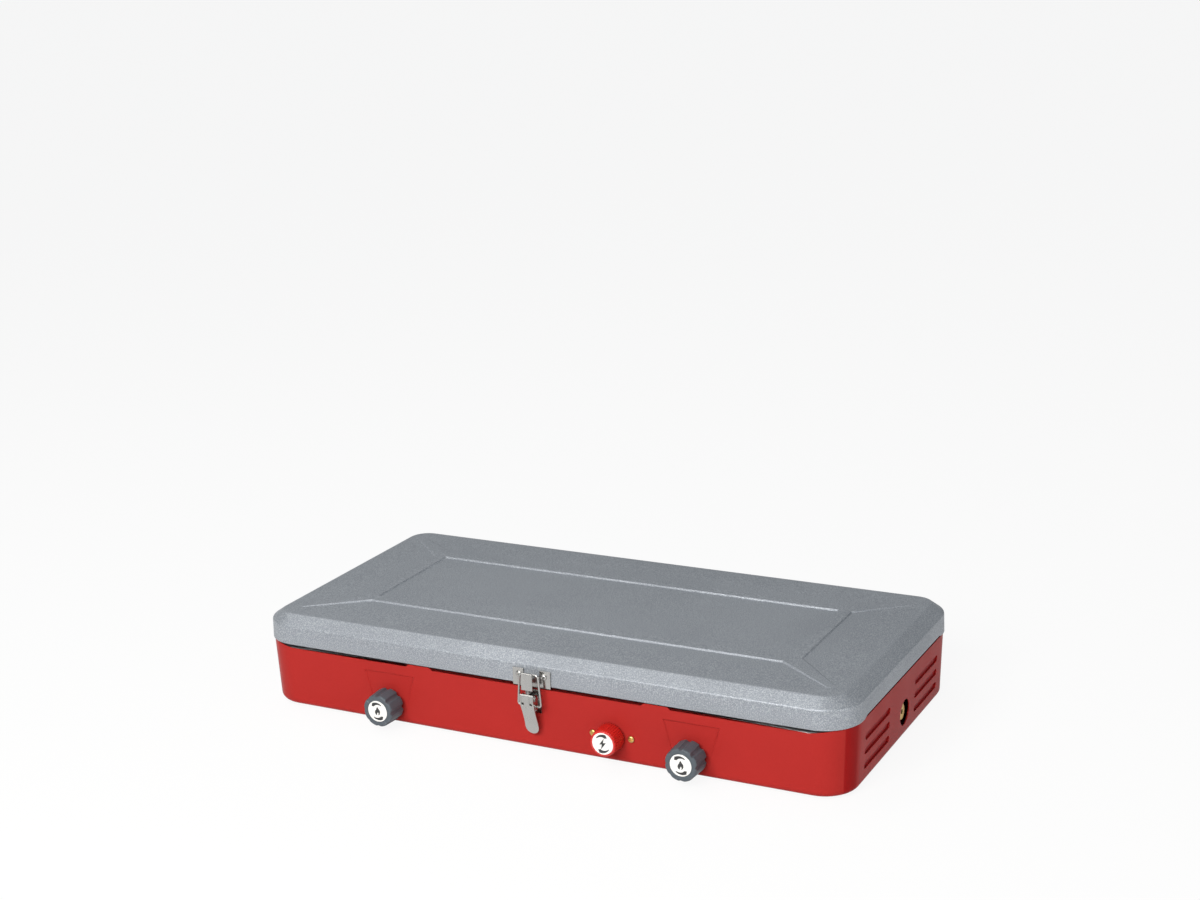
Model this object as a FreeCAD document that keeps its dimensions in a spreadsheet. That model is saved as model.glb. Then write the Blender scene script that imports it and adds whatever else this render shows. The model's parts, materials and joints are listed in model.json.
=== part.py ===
import FreeCAD, Part
import math
import os
import re
import Sketcher

# Two-burner folding camping stove, shut for carrying, in millimetres.
# X runs left to right, Y runs from the knobs to the hinges, Z is up.
# The origin is on the ground, in the middle of the whole outline.

# Case and clearances
case_width = 540  # lid width, left to right
case_depth = 260  # lid depth, front to back
corner_radius = 32  # lid corner radius in plan
sheet = 1  # thickness of the lid and base steel
foot_height = 1.8  # rubber foot below the floor
foot_radius = 8  # rubber foot radius
foot_stem = 3  # radius of a foot's stem
foot_barb = 1.5  # barb of a foot's stem beyond the stem
foot_inset = 48  # foot centre in from the case outline
base_height = 56.7  # floor underside to side rim
base_inset = 2.5  # how much the floor outline draws in on each side
base_edge = 6  # radius between wall and floor
lid_overhang = 1  # lid outline beyond the base outline
rim_dip = 3  # how far the front rim is cut down
dip_reach = 236  # half length of the cut-down front rim
dip_ramp = 26  # length of the slope at each end of the front rim
tab_centre = 109  # rim tab centre from the middle
tab_width = 20  # rim tab width at its top
tab_rise = 2.4  # rim tab above the cut-down rim
tab_slope = 3  # length of a tab's sloping side
ledge_width = 5  # inner ledge that carries the tray
seat_gap = 0.3  # clearance of a piece that lies on its seat
running_gap = 0.05  # clearance of a shaft, or of a riveted plate
screw_radius = 1.5  # radius of the small screws and rivets
screw_head = 2.8  # head radius of the small screws and rivets
head_height = 1.4  # head height of the small screws and rivets
upset_radius = 2.3  # radius of a rivet's upset end

# Louvres
louvre_centre = 60  # louvre middle from the wall's middle
louvre_half = 29  # half length of a louvre
louvre_tall = 2.75  # half height of a louvre
louvre_deep = 1.5  # depth of a louvre
louvre_top = 41.3  # top row above the ground
louvre_middle = 29.2  # middle row above the ground
louvre_low = 17  # low row above the ground
slit_half = 26  # half length of the air slit in a louvre
slit_tall = 0.6  # half height of the air slit

# Lid
lid_gap = 0.5  # rim to lid edge
skirt_height = 16.6  # lid edge to crease
skirt_draft = 0.4  # how much the skirt draws in
crease_round = 2  # rounding of the crease
bevel_rise = 7.3  # crease to shoulder
bevel_inset = 11.3  # crease to shoulder in plan
shoulder_radius = 16  # corner radius of the shoulder
shoulder_round = 4  # rounding of the shoulder
crown_rise = 2.2  # shoulder to the pressed frame's top
panel_drop = 1.2  # pressed panels below the frame
step_run = 1.2  # slope of the pressed step in plan
frame_reach = 204  # half width of the pressed frame
frame_depth = 68  # half depth of the pressed frame
frame_band = 12  # width of the pressed frame
arm_reach = 245  # diagonal arm end, across
arm_depth = 99.5  # diagonal arm end, front to back
arm_half = 2.5  # half width of an arm at its end
hem_height = 4  # folded hem inside the lid edge
hem_thickness = 1.2  # thickness of that hem

# Tray and grate
tray_sheet = 0.8  # tray steel
tray_flange = 10  # flat edge of the tray
tray_slope = 5  # sloping wall of the tray in plan
tray_depth = 10  # edge to tray floor
tray_hole = 37  # radius of the hole round a burner
collar_height = 3  # raised edge of that hole
grate_wire = 2.5  # radius of the grate's frame wire
grate_rod = 2  # radius of the grate's cross rods
grate_rise = 11  # cross rods above the frame wire
grate_ramp = 10  # length of a rod's sloping end
grate_level = 104  # half length of a rod's raised stretch
grate_pairs = 5  # cross rods on each side of the middle
stay_offset = 60  # long stay rods from the middle
rod_bend = 6  # bend radius of the rods

# Burners
burner_spacing = 278  # between the burner centres, and the knobs
burner_back = 8  # burner centres behind the case centre
bracket_sheet = 1.2  # bracket steel
bracket_drop = 16.5  # burner bracket's top below the side rim
bracket_half = 36  # half span of a burner bracket
bracket_foot = 12  # foot length of a burner bracket
bracket_width = 26  # width of a burner bracket
rivet_spread = 6.5  # floor rivets from the middle of their foot
bowl_radius = 33  # burner bowl outer radius
bowl_floor = 21  # radius of the bowl's flat underside
bowl_height = 13.7  # burner bowl, seat to rim
bowl_shoulder = 7  # burner bowl, seat to the straight wall
bowl_wall = 2  # burner bowl wall
neck_radius = 11.5  # burner neck outer radius
neck_drop = 8.3  # burner neck below the bowl seat
neck_stop = 2  # mixing tube's end below the bowl seat
cap_radius = 34.5  # burner cap radius
cap_height = 6.5  # burner cap above the bowl rim
cap_edge = 4.4  # straight edge of the cap above the bowl rim
cap_flat = 27  # radius of the cap's flat top
cap_dish = 12  # radius of the dish in the cap's top
dish_depth = 0.8  # depth of that dish
cap_lip = 2.5  # cap lip inside the bowl
cap_ceiling = 3.4  # hollow of the cap above the bowl rim
port_count = 32  # flame ports round a cap
port_width = 1.8  # width of a flame port
port_height = 2.4  # height of a flame port
screw_spread = 17  # burner screw from the burner centre
screw_bite = 1.5  # burner screw inside the bowl's floor

# Gas train
knob_height = 20.5  # knob axis above the ground
recess_depth = 2  # knob recess floor behind the rim line
recess_top = 47  # knob recess top above the ground
recess_bottom = 11  # knob recess bottom above the ground
recess_half_top = 24  # half width of the recess at its top
recess_half_bottom = 14  # half width of the recess at its bottom
valve_radius = 8  # valve body radius
valve_length = 22  # valve body length
valve_neck = 4.8  # threaded neck radius
neck_length = 7.5  # threaded neck length
saddle_width = 16  # valve saddle along the pipe
saddle_length = 12  # valve saddle front to back
saddle_lid = 2.5  # brass above the pipe
nut_radius = 8  # valve nut across corners, halved
nut_height = 3  # valve nut thickness
stem_radius = 3  # valve and igniter spindle radius
stem_flat = 2.1  # flat of a spindle from its axis
stem_depth = 9.5  # spindle inside the valve
pipe_radius = 4  # gas pipe radius
pipe_wall = 0.8  # gas pipe wall
pipe_lift = 17  # pipe axis above the knob axis
pipe_back = 14  # pipe axis behind the valve's shoulder
pipe_bend = 18  # gas pipe bend radius
pipe_end = 14  # pipe beyond the left valve's axis
pipe_socket = 5  # pipe inside the inlet block
jet_hex = 5.5  # jet hexagon across corners, halved
jet_hex_height = 4  # jet hexagon height
jet_shoulder = 5  # jet shoulder radius
shoulder_length = 4  # jet shoulder length
jet_nose = 2.4  # jet nose radius
jet_nose_length = 5  # jet nose length
jet_bore = 0.8  # jet bore radius
jet_thread = 6  # jet thread inside the valve
tube_radius = 8  # mixing tube outer radius
tube_wall = 1  # mixing tube wall
tube_bend = 14  # mixing tube bend radius
bell_radius = 10.5  # mixing bell outer radius
bell_length = 20  # mixing bell length
bell_taper = 8  # taper from bell to tube
window_length = 10  # air window along the bell
window_height = 8  # air window height
inlet_offset = 6.7  # gas inlet behind the case centre
inlet_height = 24.3  # gas inlet above the ground
inlet_hole = 11  # radius of the hole in the right wall
inlet_radius = 6.6  # radius of the inlet stud's free end
inlet_thread = 6.8  # radius of the inlet stud's thread, under its nut
inlet_free = 6.5  # length of the inlet stud's free end
inlet_bore = 2.2  # radius of the inlet stud's bore
inlet_length = 12  # length of the inlet stud
inlet_set_back = 4  # stud end inside the base outline
block_width = 22  # inlet block along the stud
block_half = 11  # half the inlet block front to back
block_low = 10  # inlet block below the stud axis
inlet_nut_radius = 11  # inlet nut across corners, halved
inlet_nut_height = 3.5  # inlet nut thickness

# Knobs
knob_gap = 4  # knob in front of its recess floor
knob_length = 18  # knob, back to front
knob_radius = 14.4  # knob radius at the back
knob_front = 13.8  # knob radius near the front
knob_face = 13  # radius of the knob's front face
knob_round = 0.9  # bevel at the knob's front
knob_skirt = 3  # straight stretch at the knob's back
knob_wall = 3.6  # wall round the knob's hollow back
knob_hollow = 9  # depth of the hollow back
hub_radius = 5.6  # hub in the hollow back
hub_set_back = 3  # hub in front of the knob's back
hub_bore = 12  # depth of the spindle bore
flute_count = 8  # flutes round a knob
flute_radius = 2.6  # radius of a flute
flute_depth = 2.3  # depth of a flute at the back
disc_radius = 9.3  # white disc radius
disc_height = 0.8  # white disc thickness

# Igniter
igniter_height = 25  # igniter axis above the ground
igniter_gap = 2.2  # igniter knob in front of the wall
igniter_length = 15  # igniter knob, back to front
igniter_radius = 12.1  # igniter knob radius at the back
igniter_front = 10.9  # igniter knob radius at the front
igniter_bevel = 0.8  # bevels of the igniter knob
igniter_disc = 9.3  # igniter disc radius
rib_count = 30  # ribs round the igniter knob
rib_depth = 0.6  # depth between the ribs
igniter_screw = 17  # igniter screws from its axis
barrel_radius = 8  # igniter barrel radius
barrel_length = 42  # igniter barrel length
bush_radius = 6  # igniter bush radius
bush_length = 4.5  # igniter bush in front of its plate
spindle_depth = 8  # igniter spindle behind its plate
mount_thickness = 1.6  # igniter mounting plate
mount_half = 21.5  # half length of the mounting plate
mount_height = 16  # height of the mounting plate
tab_spread = 4  # igniter's wire tabs from its axis
tab_length = 5  # igniter's wire tabs behind the barrel
tab_thickness = 0.8  # igniter's wire tabs
electrode_offset = 43  # electrode from the burner centre
electrode_radius = 3  # electrode porcelain radius
electrode_collar = 5  # electrode collar radius
collar_thickness = 1.5  # electrode collar thickness
electrode_tip = 0.8  # electrode wire radius
tip_bend = 2.4  # electrode wire bend radius
spark_gap = 1.8  # electrode wire to the cap
lead_radius = 1.5  # ignition lead radius
lead_bend = 12  # ignition lead bend radius
lead_start = 22  # straight start and end of an ignition lead
boot_radius = 4  # lead boot radius
boot_height = 8  # lead boot height

# Latch
wire = 1  # bail wire radius
pivot_out = 8  # lever pivot in front of the base rim
pivot_drop = 8.5  # lever pivot below the side rim
hook_in = 1.5  # bail pivot behind the lever pivot
hook_drop = 7  # bail pivot below the lever pivot
bail_rise = 26.5  # bail pivot to crossbar
bail_half = 10.4  # half width of the bail at its pivot
bail_top_half = 8.3  # half width of the bail at the crossbar
bail_bend = 2.2  # bend radius of the bail
pin_radius = 1.5  # pivot pin radius
pin_head = 2.3  # pivot pin head radius
pin_head_height = 0.8  # pivot pin head height
ear_half = 4.6  # bracket ears' outer faces from the middle
ear_sheet = 1  # bracket steel of the latch
ear_nose = 3  # radius of a bracket ear round its pin
ear_top = 1.2  # ear's upper edge at the plate, below the pivot
ear_low = 5.2  # ear's lower edge at the plate, below the pivot
cheek_gap = 0.4  # bracket ear to lever cheek
bracket_below = 15.5  # latch bracket below the pivot
bracket_above = 5  # latch bracket above the pivot
bracket_edge = 2.4  # latch bracket beside its ears
lower_rivet = 12.2  # lower latch rivet below the pivot
upper_rivet = 6  # upper latch rivet below the pivot
lever_sheet = 1.2  # lever steel
lever_head = 4.4  # lever's head in front of the pivot
head_up = 3.1  # lever's head above the pivot
head_down = 2.6  # straight face of the head below the pivot
head_edge = 1  # rolled top edge of the head
lever_bend = 22.4  # bend of the lever below the pivot
bend_in = 2.3  # bend's face behind the pivot
lever_end = 32.8  # lower end of the lever below the pivot
end_in = 4.8  # lower end's face behind the pivot
lever_half = 5.9  # half width of the lever's shank
lever_tip = 6.1  # radius of the lever's rounded end
shank_low = 8  # shank's lower end above the centre of the tip
shoulder_low = 6.5  # lever's shoulders below the pivot
shank_top = 12  # shank's upper end below the pivot
eye_spread = 3.7  # oval holes of the lever from the middle
eye_drop = 1.3  # oval holes below the pivot
eye_half = 1.15  # half width of an oval hole
eye_tall = 3.9  # half height of an oval hole
cheek_back = 2.3  # lever cheek behind the bail pivot
cheek_low = 2.8  # lever cheek below the bail pivot
plate_half = 17.2  # half width of the catch plate
plate_low = 1.5  # catch plate's bottom below the lid edge
plate_high = 13.3  # catch plate's top above the lid edge
plate_floor = 2.4  # bottom of the plate's cut-out above the lid edge
notch_gap = 2.2  # catch plate beside its tongue
catch_half = 5.1  # half width of the catch tongue
catch_sheet = 0.9  # catch tongue steel
shelf_gap = 0.4  # bail crossbar above its shelf
catch_out = 8.4  # lip in front of the base rim
lip_height = 2.8  # lip above the shelf
roll = 0.7  # round of the lip's rolled top
catch_flap = 1.8  # lower end of the flap below the lid edge
catch_spread = 11.3  # catch rivets from the middle
catch_rivet = 8.3  # catch rivets above the lid edge

# Hinges
lid_opening = 100  # how far the lid opens, in degrees
hinge_spacing = 300  # between the two hinges
hinge_half = 20  # half length of a hinge
hinge_middle = 9.7  # half length of the lid's knuckle
knuckle_gap = 0.3  # between knuckles
hinge_out = 3.2  # hinge axis behind the lid outline
knuckle_radius = 2.7  # knuckle radius
hinge_pin = 1.3  # hinge pin radius
leaf = 1  # hinge leaf thickness
leaf_reach = 15  # length of a leaf from the hinge axis
leaf_rivet = 11.5  # leaf rivets from the hinge axis
hinge_rivet = 12  # hinge rivets from the hinge's middle
heel_drop = 3.9  # lid stop below the hinge axis, lid open
heel_thickness = 1.4  # thickness of the lid stop

document = FreeCAD.newDocument("CampingStove")
table = document.addObject("Spreadsheet::Sheet", "Sizes")
aliases = [name for name, value in globals().items() if isinstance(value, (int, float))]
for row, name in enumerate(aliases, 1):
    table.set(f"A{row}", name.replace("_", " "))
    table.set(f"B{row}", str(globals()[name]))
    table.setAlias(f"B{row}", name)
table.recompute()
parts = {}

NAME = re.compile(r"[a-z][a-z_]*")


def refer(rule):
    """Turn the plain size names in a rule into references to the sheet."""
    return NAME.sub(lambda word: "Sizes." * (word.group() in aliases) + word.group(), rule)


def number(rule):
    """Work out a rule from the sheet's present values."""
    value = table.evalExpression(refer(rule))
    return float(getattr(value, "Value", value))


def wall(height):
    """How far the drafted base wall stands inside its rim line at a height."""
    return f"(base_inset * (foot_height + base_height - {height}) / base_height)"


def burner(side):
    """Distance of one burner's centre from the middle."""
    return f"({side} * burner_spacing / 2)"


# Levels and reaches that several pieces share.
FLOOR = "(foot_height + sheet)"
RIM = "(foot_height + base_height)"
LOW_RIM = f"({RIM} - rim_dip)"
LID_EDGE = f"({RIM} + lid_gap)"
CREASE = f"({LID_EDGE} + skirt_height)"
SHOULDER = f"({CREASE} + bevel_rise)"
LID_X = "(case_width / 2)"
LID_Y = "(case_depth / 2)"
BASE_X = "(case_width / 2 - lid_overhang)"
BASE_Y = "(case_depth / 2 - lid_overhang)"
BASE_CORNER = "(corner_radius - lid_overhang)"
TRAY_EDGE = LOW_RIM
TRAY_TOP = f"({TRAY_EDGE} + tray_sheet)"
TRAY_FLOOR = f"({TRAY_TOP} - tray_depth)"
TRAY_INSET = "(sheet + 2 * seat_gap)"
BRACKET_TOP = f"({RIM} - bracket_drop)"
BOWL_SEAT = f"({BRACKET_TOP} + seat_gap)"
BOWL_RIM = f"({BOWL_SEAT} + bowl_height)"
RECESS = f"(recess_depth - {BASE_Y})"
VALVE_SHOULDER = f"({RECESS} + sheet + seat_gap)"
VALVE_END = f"({VALVE_SHOULDER} + valve_length)"
NOSE_START = f"({VALVE_END} + jet_hex_height + shoulder_length)"
BELL_FRONT = f"({VALVE_END} + jet_hex_height + seat_gap)"
BELL_BACK = f"({BELL_FRONT} + bell_length)"
PIPE_Y = f"({VALVE_SHOULDER} + pipe_back)"
PIPE_Z = "(knob_height + pipe_lift)"
KNOB_BACK = f"({RECESS} - knob_gap)"
KNOB_FRONT = f"({KNOB_BACK} - knob_length)"
INLET_END = f"({BASE_X} - inlet_set_back)"
BLOCK_RIGHT = f"({INLET_END} - inlet_length)"
BLOCK_X = f"({BLOCK_RIGHT} - block_width / 2)"
BRACKET_X = f"({BLOCK_RIGHT} + seat_gap)"
IGNITER_X = "(burner_spacing / 4)"
IGNITER_WALL = f"({wall('igniter_height')} - {BASE_Y})"
IGNITER_BACK = f"({IGNITER_WALL} - igniter_gap)"
MOUNT_LEAN = "(base_inset * mount_height / (2 * base_height))"
IGNITER_PLATE = f"({IGNITER_WALL} + sheet + seat_gap + {MOUNT_LEAN})"
IGNITER_TAIL = f"({IGNITER_PLATE} + barrel_length)"
PIVOT_Y = f"(0 - {BASE_Y} - pivot_out)"
PIVOT_Z = f"({RIM} - pivot_drop)"
HOOK_Y = f"({PIVOT_Y} + hook_in)"
HOOK_Z = f"({PIVOT_Z} - hook_drop)"
SHELF = f"({HOOK_Z} + bail_rise - wire - shelf_gap)"
CATCH_RIVET = f"({LID_EDGE} + catch_rivet)"
LEVER_END = f"({PIVOT_Z} - lever_end)"
CHEEK_INSIDE = "(ear_half + cheek_gap)"
CHEEK = f"({CHEEK_INSIDE} + lever_sheet)"
LATCH_RIVETS = (f"({PIVOT_Z} - lower_rivet)", f"({PIVOT_Z} - upper_rivet)")
HINGE_Y = f"({LID_Y} + hinge_out)"
HINGE_Z = f"({RIM} + lid_gap / 2)"
LOW_RIVET = f"({HINGE_Z} - leaf_rivet)"
HIGH_RIVET = f"({HINGE_Z} + leaf_rivet)"
HEEL_FACE = "(hinge_out + lid_overhang - leaf - running_gap)"
HEEL_REACH = f"(heel_drop * sin(lid_opening) - {HEEL_FACE} * cos(lid_opening))"
MIDDLE = f"((0 - {KNOB_FRONT} - {HINGE_Y} - {HEEL_REACH}) / 2)"
LEAN = "(base_inset * screw_head / base_height)"
SNUG = "(screw_radius + running_gap)"
STEM_BORE = "(stem_radius + running_gap)"
STEM_FLAT = "(stem_flat + running_gap)"

SIDES = (("left", -1), ("right", 1))
ENDS = ((-1, -1), (1, -1), (1, 1), (-1, 1))
HINGE_RIVETS = [f"({end} * hinge_spacing / 2 + {row} * hinge_rivet)" for end, row in ENDS]
FLOOR_RIVETS = [(BLOCK_X, f"(inlet_offset + {row} * block_half / 2)") for row in (-1, 1)]
for _, side in SIDES:
    for toe, row in ENDS:
        across = f"({burner(side)} + {toe} * (bracket_half + bracket_foot / 2))"
        FLOOR_RIVETS.append((across, f"(burner_back + {row} * rivet_spread)"))

FLAT = FreeCAD.Rotation()
FRONT = FreeCAD.Rotation(FreeCAD.Vector(1, 0, 0), 90)
SIDE = FreeCAD.Rotation(FreeCAD.Vector(1, 1, 1), 120)
TURNS = {
    "up": FLAT,
    "down": FreeCAD.Rotation(FreeCAD.Vector(1, 0, 0), 180),
    "front": FRONT,
    "back": FreeCAD.Rotation(FreeCAD.Vector(1, 0, 0), -90),
    "right": FreeCAD.Rotation(FreeCAD.Vector(0, 1, 0), 90),
    "left": FreeCAD.Rotation(FreeCAD.Vector(0, 1, 0), -90),
}


def drive(thing, field, rule):
    """Bind one property to a rule."""
    thing.setExpression(field, refer(rule))


def place(thing, x="0", y="0", z="0", field="Placement"):
    """Bind the position of a free object to rules."""
    for way, rule in (("x", x), ("y", y), ("z", z)):
        if rule != "0":
            drive(thing, f"{field}.Base.{way}", rule)
    return thing


def sketch(name, turn, x="0", y="0", z="0"):
    """A free sketch in a plane turned from XY."""
    drawing = document.addObject("Sketcher::SketchObject", name)
    drawing.Placement = FreeCAD.Placement(FreeCAD.Vector(), turn)
    return place(drawing, x, y, z)


def pin(drawing, kind, edge, end, rule):
    """Hold one coordinate of a sketch point to a rule."""
    index = drawing.addConstraint(Sketcher.Constraint(kind, -1, 1, edge, end, number(rule)))
    drive(drawing, f"Constraints[{index}]", rule)


def hold(drawing, edge, end, across, along):
    """Hold a sketch point to two rules."""
    pin(drawing, "DistanceX", edge, end, across)
    pin(drawing, "DistanceY", edge, end, along)


def curve(drawing, edge, radius):
    """Hold the radius of a circle or an arc to a rule."""
    index = drawing.addConstraint(Sketcher.Constraint("Radius", edge, number(radius)))
    drive(drawing, f"Constraints[{index}]", radius)


def spots_of(corners):
    """Points of the sketch plane from pairs of rules."""
    return [FreeCAD.Vector(number(across), number(along), 0) for across, along in corners]


def outline(drawing, corners):
    """Close straight edges through corners given as pairs of rules."""
    spots = spots_of(corners)
    first = drawing.GeometryCount
    for start, finish in zip(spots, spots[1:] + spots[:1]):
        drawing.addGeometry(Part.LineSegment(start, finish))
    for index, (across, along) in enumerate(corners):
        after = first + (index + 1) % len(corners)
        drawing.addConstraint(Sketcher.Constraint("Coincident", first + index, 2, after, 1))
        hold(drawing, first + index, 1, across, along)
    return drawing


def ring(drawing, across, along, radius):
    """Add a circle."""
    middle = FreeCAD.Vector(number(across), number(along), 0)
    circle = Part.Circle(middle, FreeCAD.Vector(0, 0, 1), number(radius))
    edge = drawing.addGeometry(circle)
    hold(drawing, edge, 3, across, along)
    curve(drawing, edge, radius)
    return drawing


def loop(drawing, ends, radius):
    """Join straight edges, given as pairs of ends, by tangent arcs."""
    spots = spots_of(ends)
    count = len(spots) // 2
    turn = 2 * math.pi / count
    bend = number(radius)
    first = drawing.GeometryCount
    for start, finish in zip(spots[::2], spots[1::2]):
        drawing.addGeometry(Part.LineSegment(start, finish))
        heading = (finish - start).normalize()
        inward = FreeCAD.Vector(-heading.y, heading.x, 0)
        circle = Part.Circle(finish + inward * bend, FreeCAD.Vector(0, 0, 1), bend)
        begin = math.atan2(-inward.y, -inward.x)
        drawing.addGeometry(Part.ArcOfCircle(circle, begin, begin + turn))
    for index in range(count):
        line = first + 2 * index
        after = first + (2 * index + 2) % (2 * count)
        hold(drawing, line, 1, *ends[2 * index])
        hold(drawing, line, 2, *ends[2 * index + 1])
        drawing.addConstraint(Sketcher.Constraint("Tangent", line, 2, line + 1, 1))
        drawing.addConstraint(Sketcher.Constraint("Coincident", line + 1, 2, after, 1))
    return drawing


def rounded(drawing, half_x, half_y, radius):
    """Add a centred rectangle with round corners."""
    short_x = f"({half_x} - {radius})"
    short_y = f"({half_y} - {radius})"
    ends = [
        (f"-{short_x}", f"-{half_y}"), (short_x, f"-{half_y}"),
        (half_x, f"-{short_y}"), (half_x, short_y),
        (short_x, half_y), (f"-{short_x}", half_y),
        (f"-{half_x}", short_y), (f"-{half_x}", f"-{short_y}"),
    ]
    return loop(drawing, ends, radius)


def slot(drawing, across, along, half_long, half_thin):
    """Add a slot with round ends, its long way across the sketch."""
    short = f"({half_long} - {half_thin})"
    ends = [
        (f"{across} - {short}", f"{along} - {half_thin}"),
        (f"{across} + {short}", f"{along} - {half_thin}"),
        (f"{across} + {short}", f"{along} + {half_thin}"),
        (f"{across} - {short}", f"{along} + {half_thin}"),
    ]
    return loop(drawing, ends, half_thin)


def window(drawing, across, along, half_wide, half_tall):
    """Add a slot with round ends, its long way up the sketch."""
    short = f"({half_tall} - {half_wide})"
    ends = [
        (f"{across} - {half_wide}", f"{along} + {short}"),
        (f"{across} - {half_wide}", f"{along} - {short}"),
        (f"{across} + {half_wide}", f"{along} - {short}"),
        (f"{across} + {half_wide}", f"{along} + {short}"),
    ]
    return loop(drawing, ends, half_wide)


def flatted(drawing, radius, flat):
    """Add a circle about the origin with one flat, the outline of a spindle."""
    bend = number(radius)
    edge = number(flat)
    begin = math.acos(edge / bend)
    circle = Part.Circle(FreeCAD.Vector(), FreeCAD.Vector(0, 0, 1), bend)
    arc = drawing.addGeometry(Part.ArcOfCircle(circle, begin, 2 * math.pi - begin))
    top = FreeCAD.Vector(edge, bend * math.sin(begin), 0)
    low = FreeCAD.Vector(edge, -bend * math.sin(begin), 0)
    line = drawing.addGeometry(Part.LineSegment(low, top))
    drawing.addConstraint(Sketcher.Constraint("Coincident", arc, 3, -1, 1))
    drawing.addConstraint(Sketcher.Constraint("Coincident", arc, 2, line, 1))
    drawing.addConstraint(Sketcher.Constraint("Coincident", line, 2, arc, 1))
    drawing.addConstraint(Sketcher.Constraint("Vertical", line))
    pin(drawing, "DistanceX", line, 1, flat)
    curve(drawing, arc, radius)
    return drawing


def track(drawing, corners, bend):
    """Draw a path of straight runs with tangent arcs at its corners."""
    spots = spots_of(corners)
    radius = number(bend)
    runs = []
    turns = []
    last = spots[0]
    for start, corner, after in zip(spots, spots[1:], spots[2:]):
        come = (corner - start).normalize()
        leave = (after - corner).normalize()
        half = come.getAngle(leave) / 2
        begin = corner - come * (radius * math.tan(half))
        finish = corner + leave * (radius * math.tan(half))
        middle = corner + (leave - come).normalize() * (radius / math.cos(half))
        runs.append(drawing.addGeometry(Part.LineSegment(last, begin)))
        leftward = come.cross(leave).z > 0
        one, two = (begin, finish) if leftward else (finish, begin)
        low = math.atan2(one.y - middle.y, one.x - middle.x)
        high = math.atan2(two.y - middle.y, two.x - middle.x)
        circle = Part.Circle(middle, FreeCAD.Vector(0, 0, 1), radius)
        high += 2 * math.pi * (high < low)
        arc = drawing.addGeometry(Part.ArcOfCircle(circle, low, high))
        mark = drawing.addGeometry(Part.Point(corner), True)
        turns.append((arc, mark, 1 if leftward else 2))
        last = finish
    runs.append(drawing.addGeometry(Part.LineSegment(last, spots[-1])))
    hold(drawing, runs[0], 1, *corners[0])
    hold(drawing, runs[-1], 2, *corners[-1])
    for index, (arc, mark, entry) in enumerate(turns):
        hold(drawing, mark, 1, *corners[index + 1])
        curve(drawing, arc, bend)
        for run, end, arc_end in ((runs[index], 2, entry), (runs[index + 1], 1, 3 - entry)):
            drawing.addConstraint(Sketcher.Constraint("Tangent", run, end, arc, arc_end))
            drawing.addConstraint(Sketcher.Constraint("PointOnObject", mark, 1, run))
    return drawing


def swept(name, path, profile):
    """A solid that follows a drawn path."""
    document.recompute()
    solid = document.addObject("Part::Sweep", name)
    solid.Sections = [profile]
    solid.Spine = (path, [])
    solid.Solid = True
    return solid


def prism(name, drawing, forward, backward="0"):
    """Extrude a sketch along its normal and against it."""
    solid = document.addObject("Part::Extrusion", name)
    solid.Base = drawing
    solid.DirMode = "Normal"
    solid.Solid = True
    drive(solid, "LengthFwd", forward)
    drive(solid, "LengthRev", backward)
    return solid


def loft(name, low, high):
    """A ruled solid between two sketches."""
    solid = document.addObject("Part::Loft", name)
    solid.Sections = [low, high]
    solid.Solid = True
    solid.Ruled = True
    return solid


def block(name, span, corner):
    """A box of a given span from its low corner."""
    solid = document.addObject("Part::Box", name)
    for side, rule in zip(("Length", "Width", "Height"), span):
        drive(solid, side, rule)
    return place(solid, *corner)


def rod(name, radius, length, way, start):
    """A round bar from its start, pointing one way."""
    solid = document.addObject("Part::Cylinder", name)
    solid.Placement = FreeCAD.Placement(FreeCAD.Vector(), TURNS[way])
    drive(solid, "Radius", radius)
    drive(solid, "Height", length)
    return place(solid, *start)


def hexagon(name, radius, length, way, start):
    """A six-sided bar from its start, pointing one way."""
    solid = document.addObject("Part::Prism", name)
    solid.Placement = FreeCAD.Placement(FreeCAD.Vector(), TURNS[way])
    solid.Polygon = 6
    drive(solid, "Circumradius", radius)
    drive(solid, "Height", length)
    return place(solid, *start)


def cone(name, first, second, length, way, start):
    """A round taper from its start, pointing one way."""
    solid = document.addObject("Part::Cone", name)
    solid.Placement = FreeCAD.Placement(FreeCAD.Vector(), TURNS[way])
    drive(solid, "Radius1", first)
    drive(solid, "Radius2", second)
    drive(solid, "Height", length)
    return place(solid, *start)


def fuse(name, *solids):
    """Join solids into one."""
    whole = document.addObject("Part::MultiFuse", name)
    whole.Shapes = list(solids)
    return whole


def common(name, first, second):
    """What two solids share."""
    whole = document.addObject("Part::MultiCommon", name)
    whole.Shapes = [first, second]
    return whole


def cut(name, base, *tools):
    """Take tools from a solid."""
    whole = document.addObject("Part::Cut", name)
    whole.Base = base
    whole.Tool = tools[0] if len(tools) == 1 else fuse(f"{name}_tools", *tools)
    return whole


def smooth(name, base, radius, height):
    """Round the edges of a solid that lie at one height."""
    document.recompute()
    whole = document.addObject("Part::Fillet", name)
    whole.Base = base
    bend = number(radius)
    wanted = number(height)
    near = wanted / 10000
    chosen = []
    for index, edge in enumerate(base.Shape.Edges):
        box = edge.BoundBox
        if abs(box.ZMin - wanted) < near and abs(box.ZMax - wanted) < near:
            chosen.append((index + 1, bend, bend))
    whole.Edges = chosen
    return whole


def keep(node, thing):
    """Name a finished sub-part and set it on the shared origin."""
    thing.Label = node
    drive(thing, "Placement.Base.y", MIDDLE)
    parts[node] = thing
    return thing


def group(node, *solids):
    """Name separate solids as one sub-part."""
    whole = document.addObject("Part::Compound", f"{node}_group")
    whole.Links = list(solids)
    return keep(node, whole)


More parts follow.
